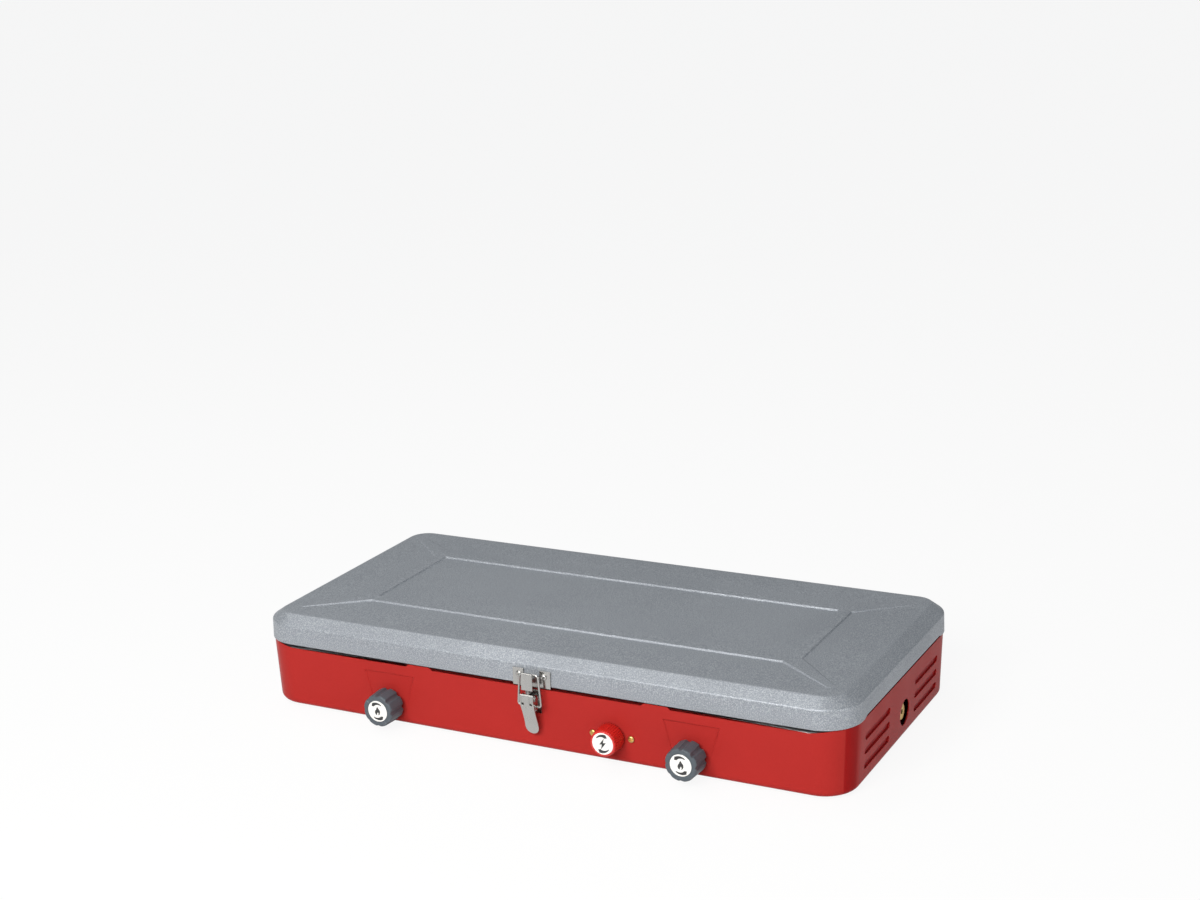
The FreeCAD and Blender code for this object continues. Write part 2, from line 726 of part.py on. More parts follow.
def copies(node, master, way, spots):
    """Linked copies of one small piece, each turned one way and set on its spot."""
    links = []
    for index, spot in enumerate(spots):
        link = document.addObject("App::Link", f"{node}_copy_{index}")
        link.LinkedObject = master
        link.LinkPlacement = FreeCAD.Placement(FreeCAD.Vector(), TURNS[way])
        links.append(place(link, *spot, field="LinkPlacement"))
    return group(node, *links)


def body(node):
    """An empty body, set in its place once it is done."""
    return document.addObject("PartDesign::Body", f"{node}_body")


def origin_item(holder, role):
    """One of a body's own origin planes or axes."""
    return next(item for item in holder.Origin.OriginFeatures if item.Role == role)


def drawn(holder, name, role, lift="0"):
    """A sketch on a body's own origin plane, lifted along its normal."""
    drawing = holder.newObject("Sketcher::SketchObject", name)
    drawing.AttachmentSupport = (origin_item(holder, role), [""])
    drawing.MapMode = "FlatFace"
    if lift != "0":
        drive(drawing, "AttachmentOffset.Base.z", lift)
    return drawing


def turned(node, corners):
    """A body turned about its Z axis; corners are pairs of radius and height."""
    holder = body(node)
    profile = outline(drawn(holder, f"{node}_profile", "XZ_Plane"), corners)
    spin = holder.newObject("PartDesign::Revolution", f"{node}_turned")
    spin.Profile = profile
    spin.ReferenceAxis = (profile, ["V_Axis"])
    spin.Angle = 360
    return holder


def padded(holder, drawing, length, middle=True, against=False):
    """Pad a body's sketch."""
    pad = holder.newObject("PartDesign::Pad", f"{drawing.Name}_pad")
    pad.Profile = drawing
    pad.Midplane = middle
    pad.Reversed = against
    drive(pad, "Length", length)
    return pad


def pocketed(holder, drawing, length, middle=False, against=False):
    """Cut a body's sketch into it, and check that it does cut."""
    document.recompute()
    before = holder.Shape.Volume
    pocket = holder.newObject("PartDesign::Pocket", f"{drawing.Name}_pocket")
    pocket.Profile = drawing
    pocket.Midplane = middle
    pocket.Reversed = against
    drive(pocket, "Length", length)
    document.recompute()
    if holder.Shape.Volume >= before:
        raise RuntimeError(f"{drawing.Name} cuts nothing")
    return pocket


def repeated(holder, feature, count):
    """Repeat a feature round the body's Z axis."""
    polar = holder.newObject("PartDesign::PolarPattern", f"{feature.Name}_round")
    polar.Originals = [feature]
    polar.Axis = (origin_item(holder, "Z_Axis"), [""])
    polar.Angle = 360
    drive(polar, "Occurrences", count)
    holder.Tip = polar
    document.recompute()
    return polar


def seat(holder, node, way, x="0", y="0", z="0"):
    """Turn a body's Z axis one way, set it in its place and name it."""
    holder.Placement = FreeCAD.Placement(FreeCAD.Vector(), TURNS[way])
    holder.Label = node
    place(holder, x, f"{y} + {MIDDLE}", z)
    parts[node] = holder
    return holder


# The red base: a drafted open box with a ledge, knob recesses, louvres and holes.

def box_form(name, inset, low, high):
    """The base's drafted box, drawn in by an inset, between two heights."""
    ends = []
    for tag, height in (("low", low), ("high", high)):
        draw_in = f"({wall(height)} + {inset})"
        drawing = sketch(f"{name}_{tag}", FLAT, z=height)
        corner = f"({BASE_CORNER} - {draw_in})"
        rounded(drawing, f"({BASE_X} - {draw_in})", f"({BASE_Y} - {draw_in})", corner)
        ends.append(drawing)
    return loft(name, *ends)


def louvre_layer(name, side, half_long, half_thin, lift, inward, outward):
    """Slots in one side wall, drawn on its drafted face and given two depths."""
    draft = math.degrees(math.atan2(number("base_inset"), number("base_height")))
    lean = FreeCAD.Rotation(FreeCAD.Vector(0, 1, 0), side * draft)
    drawing = sketch(name, lean.multiply(SIDE), x=f"{side} * {BASE_X}", z=RIM)
    for row in ("louvre_top", "louvre_middle", "louvre_low"):
        along = f"({row} - {RIM} + {lift})"
        for end in (-1, 1):
            slot(drawing, f"({end} * louvre_centre)", along, half_long, half_thin)
    depths = (outward, inward) if side > 0 else (inward, outward)
    return prism(f"{name}_prism", drawing, *depths)


def louvre_tools(tag, side):
    """The pressed-in backs of the louvres, their hollows and their air slits."""
    wide = ("(louvre_half + sheet)", "(louvre_tall + sheet)", "0")
    bump = louvre_layer(f"bump_{tag}", side, *wide, "(louvre_deep + sheet)", "0")
    true = ("louvre_half", "louvre_tall", "0")
    hollow = louvre_layer(f"hollow_{tag}", side, *true, "louvre_deep", "sheet")
    thin = ("slit_half", "slit_tall", "louvre_tall - 2 * slit_tall")
    slit = louvre_layer(f"slit_{tag}", side, *thin, "(louvre_deep + 2 * sheet)", "sheet")
    return bump, hollow, slit


def recess_drawing(name, grow):
    """Both knob recesses as trapezoids on the front wall, grown by a rule."""
    drawing = sketch(name, FRONT, y=RECESS)
    for _, half in SIDES:
        corners = []
        for side, row in ENDS:
            level = "bottom" if row < 0 else "top"
            across = f"{burner(half)} + {side} * (recess_half_{level} + {grow})"
            corners.append((across, f"recess_{level} + {row} * {grow}"))
        outline(drawing, corners)
    return drawing


def rim_cut():
    """What is cut from the front rim, between and beside its two tabs."""
    tab = f"({LOW_RIM} + tab_rise)"
    corners = [("-dip_reach", LOW_RIM)]
    for side in (-1, 1):
        near = f"({side} * tab_centre - tab_width / 2)"
        far = f"({side} * tab_centre + tab_width / 2)"
        corners += [(f"{near} - tab_slope", LOW_RIM), (near, tab)]
        corners += [(far, tab), (f"{far} + tab_slope", LOW_RIM)]
    corners += [("dip_reach", LOW_RIM), ("dip_reach + dip_ramp", f"{RIM} + sheet")]
    corners += [("-dip_reach - dip_ramp", f"{RIM} + sheet")]
    drawing = outline(sketch("rim_drawing", FRONT, y=f"(corner_radius - {BASE_Y})"), corners)
    return prism("rim_cut", drawing, "corner_radius + sheet")


def base_drills():
    """Every hole of the base."""
    front = sketch("front_holes", FRONT, y=f"({VALVE_SHOULDER} + sheet)")
    for _, side in SIDES:
        ring(front, burner(side), "knob_height", "(valve_neck + seat_gap)")
        ring(front, f"({IGNITER_X} + {side} * igniter_screw)", "igniter_height", SNUG)
    ring(front, IGNITER_X, "igniter_height", "(bush_radius + seat_gap)")
    for height in LATCH_RIVETS:
        ring(front, "0", height, SNUG)
    back = sketch("back_holes", FRONT, y=f"({BASE_Y} + sheet)")
    for across in HINGE_RIVETS:
        ring(back, across, LOW_RIVET, SNUG)
    floor = sketch("floor_holes", FLAT, z="(foot_height - sheet)")
    for across, along in FLOOR_RIVETS:
        ring(floor, across, along, SNUG)
    for side, row in ENDS:
        spot = (f"({side} * ({LID_X} - foot_inset))", f"({row} * ({LID_Y} - foot_inset))")
        ring(floor, *spot, "(foot_stem + running_gap)")
    start = (f"({BASE_X} - base_inset - 2 * sheet)", "inlet_offset", "inlet_height")
    return (
        prism("front_drill", front, "recess_depth + 4 * sheet"),
        prism("back_drill", back, "base_inset + 3 * sheet"),
        prism("floor_drill", floor, "3 * sheet"),
        rod("inlet_drill", "inlet_hole", "4 * sheet + base_inset", "right", start),
    )


def base_shell():
    solid = box_form("base_box", "0", "foot_height", RIM)
    outer = smooth("base_outer", solid, "base_edge", "foot_height")
    hollow = box_form("base_hollow", "sheet", FLOOR, f"({RIM} + sheet)")
    inner = smooth("base_inner", hollow, "base_edge - sheet", FLOOR)
    ledge = sketch("ledge_drawing", FLAT, z=f"({TRAY_EDGE} - seat_gap - sheet)")
    for inward in ("sheet / 2", "(sheet + ledge_width)"):
        corner = f"({BASE_CORNER} - {inward})"
        rounded(ledge, f"({BASE_X} - {inward})", f"({BASE_Y} - {inward})", corner)
    backs = prism("recess_backs", recess_drawing("recess_grown", "sheet"), "recess_depth", "sheet")
    left_bump, *left_cuts = louvre_tools("left", -1)
    right_bump, *right_cuts = louvre_tools("right", 1)
    added = fuse("base_added", prism("ledge", ledge, "sheet"), backs, left_bump, right_bump)
    inside = common("base_inside", added, outer)
    walls = fuse("base_walls", cut("base_tub", outer, inner), inside)
    faces = prism("recess_faces", recess_drawing("recess_true", "0"), "recess_depth + sheet")
    tools = (faces, *left_cuts, *right_cuts, rim_cut(), *base_drills())
    keep("base_shell", cut("base_cut", walls, *tools))


def rubber_feet():
    barb = f"({FLOOR} + running_gap)"
    foot = turned("foot_master", [
        ("0", "0"), ("foot_radius - sheet", "0"), ("foot_radius", "foot_height"),
        ("foot_stem", "foot_height"), ("foot_stem", barb), ("foot_stem + foot_barb", barb),
        ("foot_stem", f"{barb} + foot_barb"), ("0", f"{barb} + foot_barb"),
    ])
    spots = []
    for side, row in ENDS:
        spots.append((f"{side} * ({LID_X} - foot_inset)", f"{row} * ({LID_Y} - foot_inset)"))
    copies("rubber_feet", foot, "up", spots)


# The lid: skirt, bevel and a low crown with a pressed frame, arms and panels.

def lid_layer(name, inset, rise):
    """A low hip from the shoulder to a flat as big as the pressed frame."""
    shoulder = f"(skirt_draft + bevel_inset + {inset})"
    low = sketch(f"{name}_low", FLAT, z=f"({SHOULDER} - {inset})")
    corner = f"(shoulder_radius - {inset})"
    rounded(low, f"({LID_X} - {shoulder})", f"({LID_Y} - {shoulder})", corner)
    high = sketch(f"{name}_high", FLAT, z=f"({SHOULDER} + {rise} - {inset})")
    rounded(high, "frame_reach", "frame_depth", "step_run")
    return loft(name, low, high)


def band_edges(name, grow, height):
    """The frame with its diagonal arms, and the panel inside it, grown by a rule."""
    outer = sketch(f"{name}_outer", FLAT, z=height)
    corners = []
    for side, row in ENDS:
        beside = f"{side} * (frame_reach + {grow})"
        outward = f"{side} * (arm_reach + arm_half + {grow})"
        inward = f"{side} * (arm_reach - arm_half - {grow} / 3)"
        ahead = f"{side} * (frame_reach - frame_band - {grow} / 3)"
        corner = [
            (beside, f"{row} * (frame_depth - frame_band - {grow} / 3)"),
            (outward, f"{row} * (arm_depth - arm_half - {grow} / 3)"),
            (inward, f"{row} * (arm_depth + arm_half + {grow})"),
            (ahead, f"{row} * (frame_depth + {grow})"),
        ]
        corners += corner if side * row > 0 else corner[::-1]
    outline(outer, corners)
    reach = f"(frame_reach - frame_band - {grow})"
    depth = f"(frame_depth - frame_band - {grow})"
    inner = sketch(f"{name}_inner", FLAT, z=height)
    outline(inner, [(f"{side} * {reach}", f"{row} * {depth}") for side, row in ENDS])
    return outer, inner


def lid_bands(name, drop):
    """The raised frame and arms with their sloping sides."""
    top = f"({SHOULDER} + crown_rise - {drop})"
    low = band_edges(f"{name}_low", "(2 * step_run)", f"({top} - 2 * panel_drop)")
    high = band_edges(f"{name}_high", "(0 - step_run)", f"({top} + panel_drop)")
    outer = loft(f"{name}_outer_loft", low[0], high[0])
    return cut(name, outer, loft(f"{name}_inner_loft", low[1], high[1]))


def lid_form(name, inset):
    """The lid as a solid, drawn in all round by an inset."""
    edge = sketch(f"{name}_edge", FLAT, z=f"({LID_EDGE} - {inset})")
    corner = f"(corner_radius - {inset})"
    rounded(edge, f"({LID_X} - {inset})", f"({LID_Y} - {inset})", corner)
    draft = f"(skirt_draft + {inset})"
    crease = sketch(f"{name}_crease", FLAT, z=f"({CREASE} - {inset} / 2)")
    corner = f"(corner_radius - {draft})"
    rounded(crease, f"({LID_X} - {draft})", f"({LID_Y} - {draft})", corner)
    bevel = f"(skirt_draft + bevel_inset + {inset})"
    shoulder = sketch(f"{name}_shoulder", FLAT, z=f"({SHOULDER} - {inset})")
    corner = f"(shoulder_radius - {inset})"
    rounded(shoulder, f"({LID_X} - {bevel})", f"({LID_Y} - {bevel})", corner)
    skirt = loft(f"{name}_skirt", edge, crease)
    slope = loft(f"{name}_slope", crease, shoulder)
    panels = lid_layer(f"{name}_panels", inset, "(crown_rise - panel_drop)")
    crown = lid_layer(f"{name}_crown", inset, "crown_rise")
    raised = common(f"{name}_raised", crown, lid_bands(f"{name}_bands", inset))
    whole = fuse(f"{name}_whole", skirt, slope, panels, raised)
    whole.Refine = True
    return whole


def lid_shell():
    creased = smooth("lid_creased", lid_form("lid_outer", "0"), "crease_round", CREASE)
    outer = smooth("lid_smooth", creased, "shoulder_round", SHOULDER)
    hem = sketch("hem_drawing", FLAT, z=LID_EDGE)
    for inward in ("sheet / 2", "(sheet + hem_thickness)"):
        corner = f"(corner_radius - {inward})"
        rounded(hem, f"({LID_X} - {inward})", f"({LID_Y} - {inward})", corner)
    pressed = cut("lid_hollow", outer, lid_form("lid_inner", "sheet"))
    shell = fuse("lid_walls", pressed, prism("hem", hem, "hem_height"))
    front = sketch("catch_holes", FRONT, y=f"(3 * sheet - {LID_Y})")
    for side in (-1, 1):
        ring(front, f"{side} * catch_spread", CATCH_RIVET, SNUG)
    back = sketch("lid_back_holes", FRONT, y=f"({LID_Y} + sheet)")
    for across in HINGE_RIVETS:
        ring(back, across, HIGH_RIVET, SNUG)
    drills = (prism("catch_drill", front, "4 * sheet"), prism("lid_drill", back, "4 * sheet"))
    keep("lid_shell", cut("lid_cut", shell, *drills))


# The tray and the grate that lies on it.

def tray_form(name, low, high, grow):
    """The tray's sunk pan between two heights, drawn in by a rule."""
    rim = f"({TRAY_INSET} + tray_flange + {grow})"
    ends = []
    for tag, height, draw_in in (("low", low, f"({rim} + tray_slope)"), ("high", high, rim)):
        drawing = sketch(f"{name}_{tag}", FLAT, z=height)
        corner = f"({BASE_CORNER} - {draw_in})"
        rounded(drawing, f"({BASE_X} - {draw_in})", f"({BASE_Y} - {draw_in})", corner)
        ends.append(drawing)
    return loft(name, *ends)


def drip_tray():
    edge = sketch("tray_edge", FLAT, z=TRAY_EDGE)
    corner = f"({BASE_CORNER} - {TRAY_INSET})"
    rounded(edge, f"({BASE_X} - {TRAY_INSET})", f"({BASE_Y} - {TRAY_INSET})", corner)
    pan = tray_form("tray_pan", f"({TRAY_FLOOR} - tray_sheet)", TRAY_TOP, "0")
    hollow = tray_form("tray_hollow", TRAY_FLOOR, f"({TRAY_TOP} + tray_sheet)", "tray_sheet")
    collars = sketch("tray_collars", FLAT, z=f"({TRAY_FLOOR} - tray_sheet)")
    holes = sketch("tray_holes", FLAT, z=f"({TRAY_FLOOR} - 2 * tray_sheet)")
    for _, side in SIDES:
        ring(collars, burner(side), "burner_back", "(tray_hole + tray_sheet)")
        ring(holes, burner(side), "burner_back", "tray_hole")
        across = f"({burner(side)} - {side} * electrode_offset)"
        ring(holes, across, "burner_back", "(electrode_radius + seat_gap)")
    whole = fuse("tray_whole", prism("tray_lip", edge, "tray_sheet"), pan)
    pressed = cut("tray_pressed", whole, hollow)
    walls = fuse("tray_walls", pressed, prism("tray_collar", collars, "tray_sheet + collar_height"))
    keep("drip_tray", cut("tray_cut", walls, prism("tray_drill", holes, "3 * tray_sheet + collar_height")))


def pan_grate():
    draw_in = f"({TRAY_INSET} + tray_flange / 2)"
    reach = f"({BASE_X} - {draw_in})"
    depth = f"({BASE_Y} - {draw_in})"
    corner = f"({BASE_CORNER} - {draw_in})"
    low = f"({TRAY_TOP} + seat_gap + grate_wire)"
    high = f"({low} + grate_rise)"
    path = rounded(sketch("grate_path", FLAT, z=low), reach, depth, corner)
    hoop = sketch("grate_hoop", SIDE, f"({corner} - {reach})", f"(0 - {depth})", low)
    wires = [swept("grate_frame", path, ring(hoop, "0", "0", "grate_wire"))]
    step = "grate_level + grate_ramp"
    inner = f"({depth} - grate_wire - seat_gap)"
    for index in range(int(number("2 * grate_pairs"))):
        across = f"(({index} + 0.5 - grate_pairs) * burner_spacing / 6)"
        bends = [
            (f"-{inner}", low), (f"-({step})", low), ("-grate_level", high),
            ("grate_level", high), (step, low), (inner, low),
        ]
        line = track(sketch(f"rod_path_{index}", SIDE, across), bends, "rod_bend")
        hoop = sketch(f"rod_hoop_{index}", FRONT, across, f"(0 - {inner})", low)
        wires.append(swept(f"grate_rod_{index}", line, ring(hoop, "0", "0", "grate_rod")))
    end = "((grate_pairs - 0.5) * burner_spacing / 6 + 2 * grate_rod)"
    for row in (-1, 1):
        start = (f"(0 - {end})", f"({row} * stay_offset)", f"({high} - 2 * grate_rod - running_gap)")
        wires.append(rod(f"grate_stay_{row + 2}", "grate_rod", f"2 * {end}", "right", start))
    group("pan_grate", *wires)


# Each burner: bracket, bowl, cap, mixing tube, jet and valve.

def burner_bracket(tag, side):
    node = f"burner_bracket_{tag}"
    holder = body(node)
    foot = "(bracket_half + bracket_foot)"
    inside = "(bracket_half - bracket_sheet)"
    above = f"{FLOOR} + bracket_sheet"
    half = [(inside, f"{BRACKET_TOP} - bracket_sheet"), (inside, FLOOR), (foot, FLOOR)]
    half += [(foot, above), ("bracket_half", above), ("bracket_half", BRACKET_TOP)]
    mirrored = [(f"-{across}", height) for across, height in half[::-1]]
    profile = outline(drawn(holder, f"{node}_profile", "XZ_Plane"), half + mirrored)
    padded(holder, profile, "bracket_width")
    holes = drawn(holder, f"{node}_holes", "XY_Plane", f"({BRACKET_TOP} + sheet)")
    ring(holes, "0", "0", "(neck_radius + seat_gap)")
    for row in (-1, 1):
        ring(holes, f"{row} * screw_spread", "0", SNUG)
    pocketed(holder, holes, "2 * bracket_sheet + sheet")
    rivets = drawn(holder, f"{node}_rivets", "XY_Plane", f"({FLOOR} + 2 * bracket_sheet)")
    for toe, row in ENDS:
        spot = (f"{toe} * (bracket_half + bracket_foot / 2)", f"{row} * rivet_spread")
        ring(rivets, *spot, SNUG)
    pocketed(holder, rivets, "3 * bracket_sheet")
    seat(holder, node, "up", burner(side), "burner_back")


def burner_body(tag, side):
    node = f"burner_body_{tag}"
    bore = "(tube_radius + running_gap)"
    throat = "(tube_radius - tube_wall)"
    corners = [(bore, f"{BOWL_SEAT} - neck_drop"), ("neck_radius", f"{BOWL_SEAT} - neck_drop")]
    corners += [("neck_radius", BOWL_SEAT), ("bowl_floor", BOWL_SEAT)]
    corners += [("bowl_radius", f"{BOWL_SEAT} + bowl_shoulder"), ("bowl_radius", BOWL_RIM)]
    corners += [("bowl_radius - bowl_wall", BOWL_RIM)]
    corners += [("bowl_radius - bowl_wall", f"{BOWL_SEAT} + bowl_shoulder + bowl_wall / 2")]
    corners += [("bowl_floor", f"{BOWL_SEAT} + bowl_wall"), (throat, f"{BOWL_SEAT} + bowl_wall")]
    corners += [(throat, f"{BOWL_SEAT} - neck_stop"), (bore, f"{BOWL_SEAT} - neck_stop")]
    holder = turned(node, corners)
    holes = drawn(holder, f"{node}_holes", "XY_Plane", f"({BOWL_SEAT} + screw_bite)")
    for row in (-1, 1):
        ring(holes, f"{row} * screw_spread", "0", SNUG)
    pocketed(holder, holes, "2 * bowl_wall")
    seat(holder, node, "up", burner(side), "burner_back")


def burner_cap(tag, side):
    node = f"burner_cap_{tag}"
    lip = "(bowl_radius - bowl_wall - seat_gap)"
    top = f"({BOWL_RIM} + cap_height)"
    ceiling = f"({BOWL_RIM} + cap_ceiling)"
    holder = turned(node, [
        ("0", f"{top} - dish_depth"), ("cap_dish", f"{top} - dish_depth"),
        ("cap_dish + bowl_wall", top), ("cap_flat", top), ("cap_radius", f"{BOWL_RIM} + cap_edge"),
        ("cap_radius", BOWL_RIM), (lip, BOWL_RIM), (lip, f"{BOWL_RIM} - cap_lip"),
        (f"{lip} - bowl_wall", f"{BOWL_RIM} - cap_lip"), (f"{lip} - bowl_wall", ceiling),
        ("0", ceiling),
    ])
    port = drawn(holder, f"{node}_port", "XY_Plane", f"({BOWL_RIM} + port_height)")
    near = f"({lip} - 2 * bowl_wall)"
    far = "(cap_radius + bowl_wall)"
    outline(port, [
        (near, "-port_width / 2"), (far, "-port_width / 2"),
        (far, "port_width / 2"), (near, "port_width / 2"),
    ])
    pocket = pocketed(holder, port, "port_height + cap_lip + sheet")
    repeated(holder, pocket, "port_count")
    seat(holder, node, "up", burner(side), "burner_back")


def burner_screws():
    grip = "(bracket_sheet + seat_gap + screw_bite)"
    screw = turned("burner_screw_master", [
        ("0", "head_height"), ("screw_head", "head_height"), ("screw_head", "0"),
        ("screw_radius", "0"), ("screw_radius", f"-{grip}"), ("0", f"-{grip}"),
    ])
    under = f"({BRACKET_TOP} - bracket_sheet - running_gap)"
    spots = []
    for half, row in ENDS:
        spots.append((f"({burner(half)} + {row} * screw_spread)", "burner_back", under))
    copies("burner_screws", screw, "down", spots)


def mixing_skin(name, across, inset, front):
    """The outside of a mixing tube and its bell, or the hollow inside them."""
    corners = [(BELL_BACK, "knob_height"), ("burner_back", "knob_height")]
    corners += [("burner_back", f"{BOWL_SEAT} - neck_stop")]
    path = track(sketch(f"{name}_path", SIDE, across), corners, "tube_bend")
    hoop = sketch(f"{name}_hoop", FRONT, across, BELL_BACK, "knob_height")
    tube = swept(f"{name}_tube", path, ring(hoop, "0", "0", f"(tube_radius - {inset})"))
    start = (across, f"({BELL_FRONT} + {front})", "knob_height")
    bell = rod(f"{name}_bell", f"(bell_radius - {inset})", f"bell_length - {front}", "back", start)
    ends = (f"(bell_radius - {inset})", f"(tube_radius - {inset})")
    back = (across, BELL_BACK, "knob_height")
    return fuse(name, tube, bell, cone(f"{name}_taper", *ends, "bell_taper", "back", back))


def mixing_tube(tag, side):
    node = f"mixing_tube_{tag}"
    outer = mixing_skin(f"{node}_outside", burner(side), "0", "0")
    inner = mixing_skin(f"{node}_inside", burner(side), "tube_wall", "tube_wall")
    start = (burner(side), f"({BELL_FRONT} - tube_wall)", "knob_height")
    mouth = rod(f"{node}_mouth", "(jet_shoulder + running_gap)", "3 * tube_wall", "back", start)
    corner = (
        f"({burner(side)} - 2 * bell_radius)",
        f"({BELL_FRONT} + bell_length / 2 - window_length / 2)",
        "(knob_height - window_height / 2)",
    )
    windows = block(f"{node}_windows", ("4 * bell_radius", "window_length", "window_height"), corner)
    keep(node, cut(f"{node}_cut", outer, inner, mouth, windows))


def gas_jet(tag, side):
    node = f"gas_jet_{tag}"
    rows = (
        (rod, "thread", "stem_radius", "jet_thread", f"({VALVE_END} - jet_thread)"),
        (hexagon, "hex", "jet_hex", "jet_hex_height", VALVE_END),
        (rod, "step", "jet_shoulder", "shoulder_length", f"({VALVE_END} + jet_hex_height)"),
        (rod, "nose", "jet_nose", "jet_nose_length", NOSE_START),
    )
    pieces = []
    for make, name, radius, length, start in rows:
        spot = (burner(side), start, "knob_height")
        pieces.append(make(f"{node}_{name}", radius, length, "back", spot))
    start = (burner(side), f"({NOSE_START} + sheet)", "knob_height")
    bore = rod(f"{node}_bore", "jet_bore", "jet_nose_length", "back", start)
    keep(node, cut(f"{node}_cut", fuse(f"{node}_whole", *pieces), bore))


def gas_valve(tag, side):
    node = f"gas_valve_{tag}"
    across = burner(side)
    span = ("saddle_width", "saddle_length", "pipe_lift + pipe_radius + saddle_lid")
    corner = (f"({across} - saddle_width / 2)", f"({PIPE_Y} - saddle_length / 2)", "knob_height")
    shoulder = (across, VALVE_SHOULDER, "knob_height")
    solid = fuse(
        f"{node}_solid",
        block(f"{node}_saddle", span, corner),
        rod(f"{node}_barrel", "valve_radius", "valve_length", "back", shoulder),
        rod(f"{node}_neck", "valve_neck", "neck_length", "front", shoulder),
    )
    deep = (across, f"({VALVE_SHOULDER} + stem_depth)", "knob_height")
    stem = rod(f"{node}_stem_bore", STEM_BORE, "stem_depth + 2 * neck_length", "front", deep)
    start = (f"({across} - saddle_width)", PIPE_Y, PIPE_Z)
    reach = "(pipe_radius + running_gap)"
    pipe = rod(f"{node}_pipe_bore", reach, "2 * saddle_width", "right", start)
    back = (across, f"({VALVE_END} + sheet)", "knob_height")
    jet = rod(f"{node}_jet_bore", STEM_BORE, "jet_thread + sheet + seat_gap", "front", back)
    keep(node, cut(f"{node}_cut", solid, stem, pipe, jet))


def ring_nut(name, radius, bore, height, way, start, behind):
    """A hexagon nut on a round bore."""
    outer = hexagon(f"{name}_hex", radius, height, way, start)
    return cut(name, outer, rod(f"{name}_bore", bore, f"3 * {height}", way, behind))


def valve_nuts():
    bore = "(valve_neck + running_gap)"
    nuts = []
    for tag, side in SIDES:
        start = (burner(side), f"({RECESS} - seat_gap)", "knob_height")
        behind = (burner(side), f"({RECESS} + nut_height)", "knob_height")
        name = f"valve_nut_{tag}"
        nuts.append(ring_nut(name, "nut_radius", bore, "nut_height", "front", start, behind))
    group("valve_nuts", *nuts)


def manifold_pipe():
    ends = [(f"({burner(-1)} - pipe_end)", PIPE_Y), (BLOCK_X, PIPE_Y)]
    ends += [(BLOCK_X, "(inlet_offset - block_half + pipe_socket)")]
    skins = []
    for name, radius in (("outside", "pipe_radius"), ("inside", "(pipe_radius - pipe_wall)")):
        path = track(sketch(f"pipe_{name}_path", FLAT, z=PIPE_Z), ends, "pipe_bend")
        hoop = sketch(f"pipe_{name}_hoop", SIDE, ends[0][0], PIPE_Y, PIPE_Z)
        skins.append(swept(f"pipe_{name}", path, ring(hoop, "0", "0", radius)))
    start = (f"({ends[0][0]} - pipe_wall)", PIPE_Y, PIPE_Z)
    plug = rod("pipe_plug", "pipe_radius", "3 * pipe_wall", "right", start)
    keep("manifold_pipe", fuse("pipe_whole", cut("pipe_tube", *skins), plug))


def inlet_fitting():
    height = f"{PIPE_Z} + pipe_radius + saddle_lid - inlet_height + block_low"
    low = "(inlet_height - block_low)"
    corner = (f"({BLOCK_RIGHT} - block_width)", "(inlet_offset - block_half)", low)
    cube = block("inlet_cube", ("block_width", "2 * block_half", height), corner)
    end = (INLET_END, "inlet_offset", "inlet_height")
    step = (f"({INLET_END} - inlet_free)", "inlet_offset", "inlet_height")
    stud = rod("inlet_stud", "inlet_radius", "inlet_length + block_width / 2", "left", end)
    thread = "inlet_length + block_width / 2 - inlet_free"
    shank = rod("inlet_shank", "inlet_thread", thread, "left", step)
    outside = (f"({INLET_END} + sheet)", "inlet_offset", "inlet_height")
    bore = rod("inlet_drilling", "inlet_bore", "inlet_length", "left", outside)
    start = (BLOCK_X, "(inlet_offset - block_half + pipe_socket + seat_gap)", PIPE_Z)
    reach = "(pipe_radius + running_gap)"
    socket = rod("inlet_socket", reach, "pipe_socket + block_half", "front", start)
    keep("inlet_fitting", cut("inlet_drilled", fuse("inlet_solid", cube, stud, shank), bore, socket))


def inlet_bracket():
    node = "inlet_bracket"
    holder = body(node)
    top = "inlet_height + block_low"
    left = f"({BLOCK_RIGHT} - block_width)"
    profile = outline(drawn(holder, f"{node}_profile", "XZ_Plane"), [
        (left, FLOOR), (f"{BRACKET_X} + bracket_sheet", FLOOR),
        (f"{BRACKET_X} + bracket_sheet", top), (BRACKET_X, top),
        (BRACKET_X, f"{FLOOR} + bracket_sheet"), (left, f"{FLOOR} + bracket_sheet"),
    ])
    padded(holder, profile, "2 * block_half")
    hole = drawn(holder, f"{node}_hole", "YZ_Plane", f"({BRACKET_X} - sheet)")
    ring(hole, "0", "inlet_height", "(inlet_thread + running_gap)")
    pocketed(holder, hole, "3 * bracket_sheet", against=True)
    rivets = drawn(holder, f"{node}_rivets", "XY_Plane", f"({FLOOR} + 2 * bracket_sheet)")
    for row in (-1, 1):
        ring(rivets, BLOCK_X, f"{row} * block_half / 2", SNUG)
    pocketed(holder, rivets, "3 * bracket_sheet")
    seat(holder, node, "up", "0", "inlet_offset")


def inlet_nut():
    x = f"({BRACKET_X} + bracket_sheet + seat_gap)"
    start = (x, "inlet_offset", "inlet_height")
    behind = (f"({x} - inlet_nut_height)", "inlet_offset", "inlet_height")
    sizes = ("inlet_nut_radius", "(inlet_thread + running_gap)", "inlet_nut_height")
    keep("inlet_nut", ring_nut("inlet_ring", *sizes, "right", start, behind))


# Knobs and spindles.

def spindle(node, across, height, back, flat_start, flat_length):
    """A round spindle whose front end has a flat for its knob."""
    length = f"({back} - {flat_start})"
    shank = rod(f"{node}_shank", "stem_radius", length, "front", (across, back, height))
    end = sketch(f"{node}_drawing", FRONT, across, flat_start, height)
    flatted(end, "stem_radius", "stem_flat")
    tip = prism(f"{node}_tip", end, flat_length, "running_gap")
    keep(node, fuse(f"{node}_whole", shank, tip))


